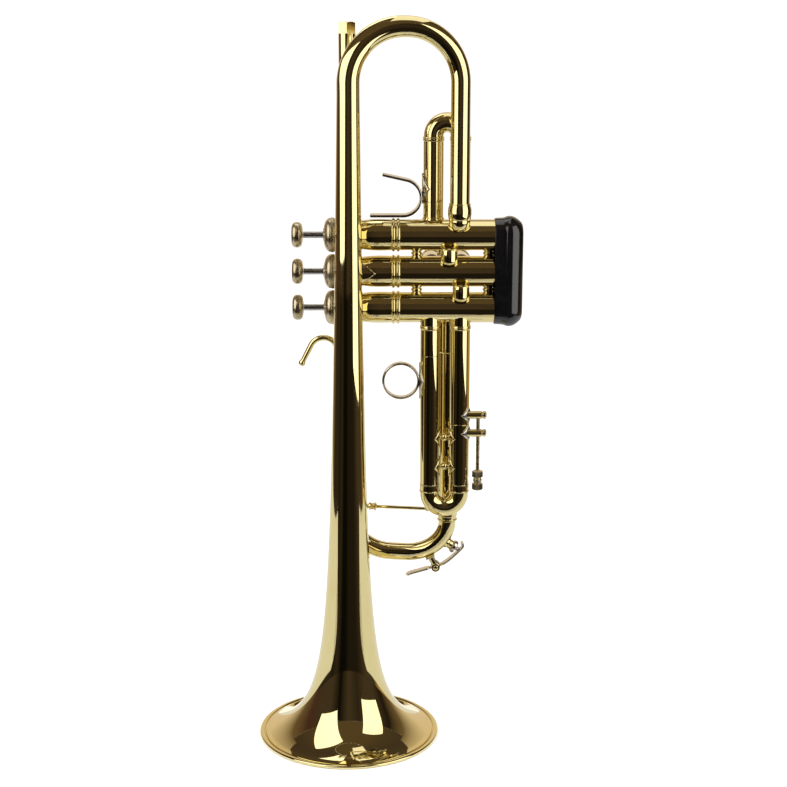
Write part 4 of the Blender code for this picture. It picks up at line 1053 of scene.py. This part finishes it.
def table_edge(azimuth):
    """Distance at which the pale table ends."""
    s, c = abs(sin(radians(azimuth))), cos(radians(azimuth))
    return min(TABLE_SIDE / max(s, 0.01), TABLE_FRONT / max(c, 0.01), HORIZON)


def build_floor():
    floor = bpy.data.meshes.new("floor")
    corners = [(x * FLOOR_REACH, y * FLOOR_REACH, 0) for x, y in ((-1, -1), (1, -1), (1, 1), (-1, 1))]
    floor.from_pydata(corners, [], [(0, 1, 2, 3)])
    material, tree, shader = nodes_of("pale_floor")
    tone = ramp(tree, noise(tree, 3, 3), [(0.3, (0.90, 0.90, 0.895)), (0.7, (0.93, 0.93, 0.93))])
    tree.links.new(tone, shader.inputs["Base Color"])
    shader.inputs["Roughness"].default_value = 0.6
    shader.inputs["Specular IOR Level"].default_value = 0.0
    floor.materials.append(material)
    add_object("floor", floor)


def build_lights():
    """Even white light, two soft lamps, and the dark studio that the metal reflects."""
    world = bpy.data.worlds.new("studio")
    bpy.context.scene.world = world
    world.use_nodes = True
    background = world.node_tree.nodes["Background"]
    background.inputs["Color"].default_value = (1, 1, 1, 1)
    background.inputs["Strength"].default_value = 1.12

    area_light("key_light", (-1.2, -1.4, 1.8), 22)
    area_light("fill_light", (1.4, -1.0, 1.4), 12)

    black, soot, umber = (0.004, 0.004, 0.003), (0.016, 0.012, 0.009), (0.032, 0.023, 0.016)
    brown, maroon, olive = (0.06, 0.043, 0.03), (0.072, 0.033, 0.026), (0.10, 0.070, 0.038)
    bronze, gold, tan, white = (0.16, 0.11, 0.06), (0.45, 0.30, 0.11), (0.80, 0.66, 0.50), (0.86, 0.855, 0.84)
    outside = [tan, bronze, bronze, umber, umber, umber, soot, umber, black, black, soot, soot, soot, umber]
    outside += [brown, brown, brown, gold, gold, gold, tan]
    ground("ground_outside", (-150, 150), lambda az: (table_edge(az), HORIZON), outside)
    ground("ground_table", (-180, 180), lambda az: (70, table_edge(az)), [white] * 13)
    ground("ground_apron", (-62, 62), lambda az: (80 / cos(radians(az)), table_edge(az) + 1), [maroon] * 3)
    front = [bronze, maroon, brown, brown, black, brown, umber, brown, brown, soot, bronze]
    wall("wall_front", (-130, 130), (-6.2, 36), front)
    wall("wall_high", (-130, 130), (36, 78), [brown, olive, olive, olive, brown])
    wall("wall_back", (130, 230), (-6.2, 42), [bronze, tan, tan, tan, bronze])
    wall("wall_back_high", (130, 230), (42, 78), [brown, olive, brown])
    wall("ceiling", (0, 360), (78, 90), [olive] * 3)
    softbox("softbox_left", [(-30, 540, 268), (-71, 540, 262), (-112, 260, 541), (-22, 190, 600)])
    softbox("softbox_right", [(37, 540, 162), (80, 540, 122), (90, 520, 640), (40, 540, 880)])
    softbox("softbox_back", [(140, 300, 650), (220, 300, 650), (220, 140, 725), (140, 140, 725)])
    softbox("softbox_top", [(31, 58, 620), (69, 140, 620), (145, 230, 620), (171, 190, 620)], 1.2)


def build_camera():
    downward = 13.25  # degrees below the level
    camera = bpy.data.cameras.new("camera")
    camera.sensor_width = 36
    camera.lens = 74.0
    camera.clip_end = 50
    obj = add_object("camera", camera)
    obj.location = (BELL + Vector((30.5, -1030, 480))) * MM
    obj.rotation_euler = (radians(90 - downward), 0, 0)
    bpy.context.scene.camera = obj
    bpy.context.scene.view_settings.view_transform = "Standard"


# ---- build

for node, obj in frame["nodes"].items():
    obj.data.materials.clear()
    obj.data.materials.append(FINISHES[SLOT_OF[node]])

build_bell()
build_ferrule()
for number, tube in enumerate(CASINGS, 1):
    build_casing(number, tube)
    build_valve(number, tube)
build_guard()
build_between_casings()
build_first_slide()
build_thumb_saddle()
build_second_slide()
build_third_slide()
build_finger_ring()
build_stop()
build_leadpipe()
build_tuning_slide()
build_pinky_hook()
build_braces()
build_water_key()
build_floor()
build_lights()
build_camera()
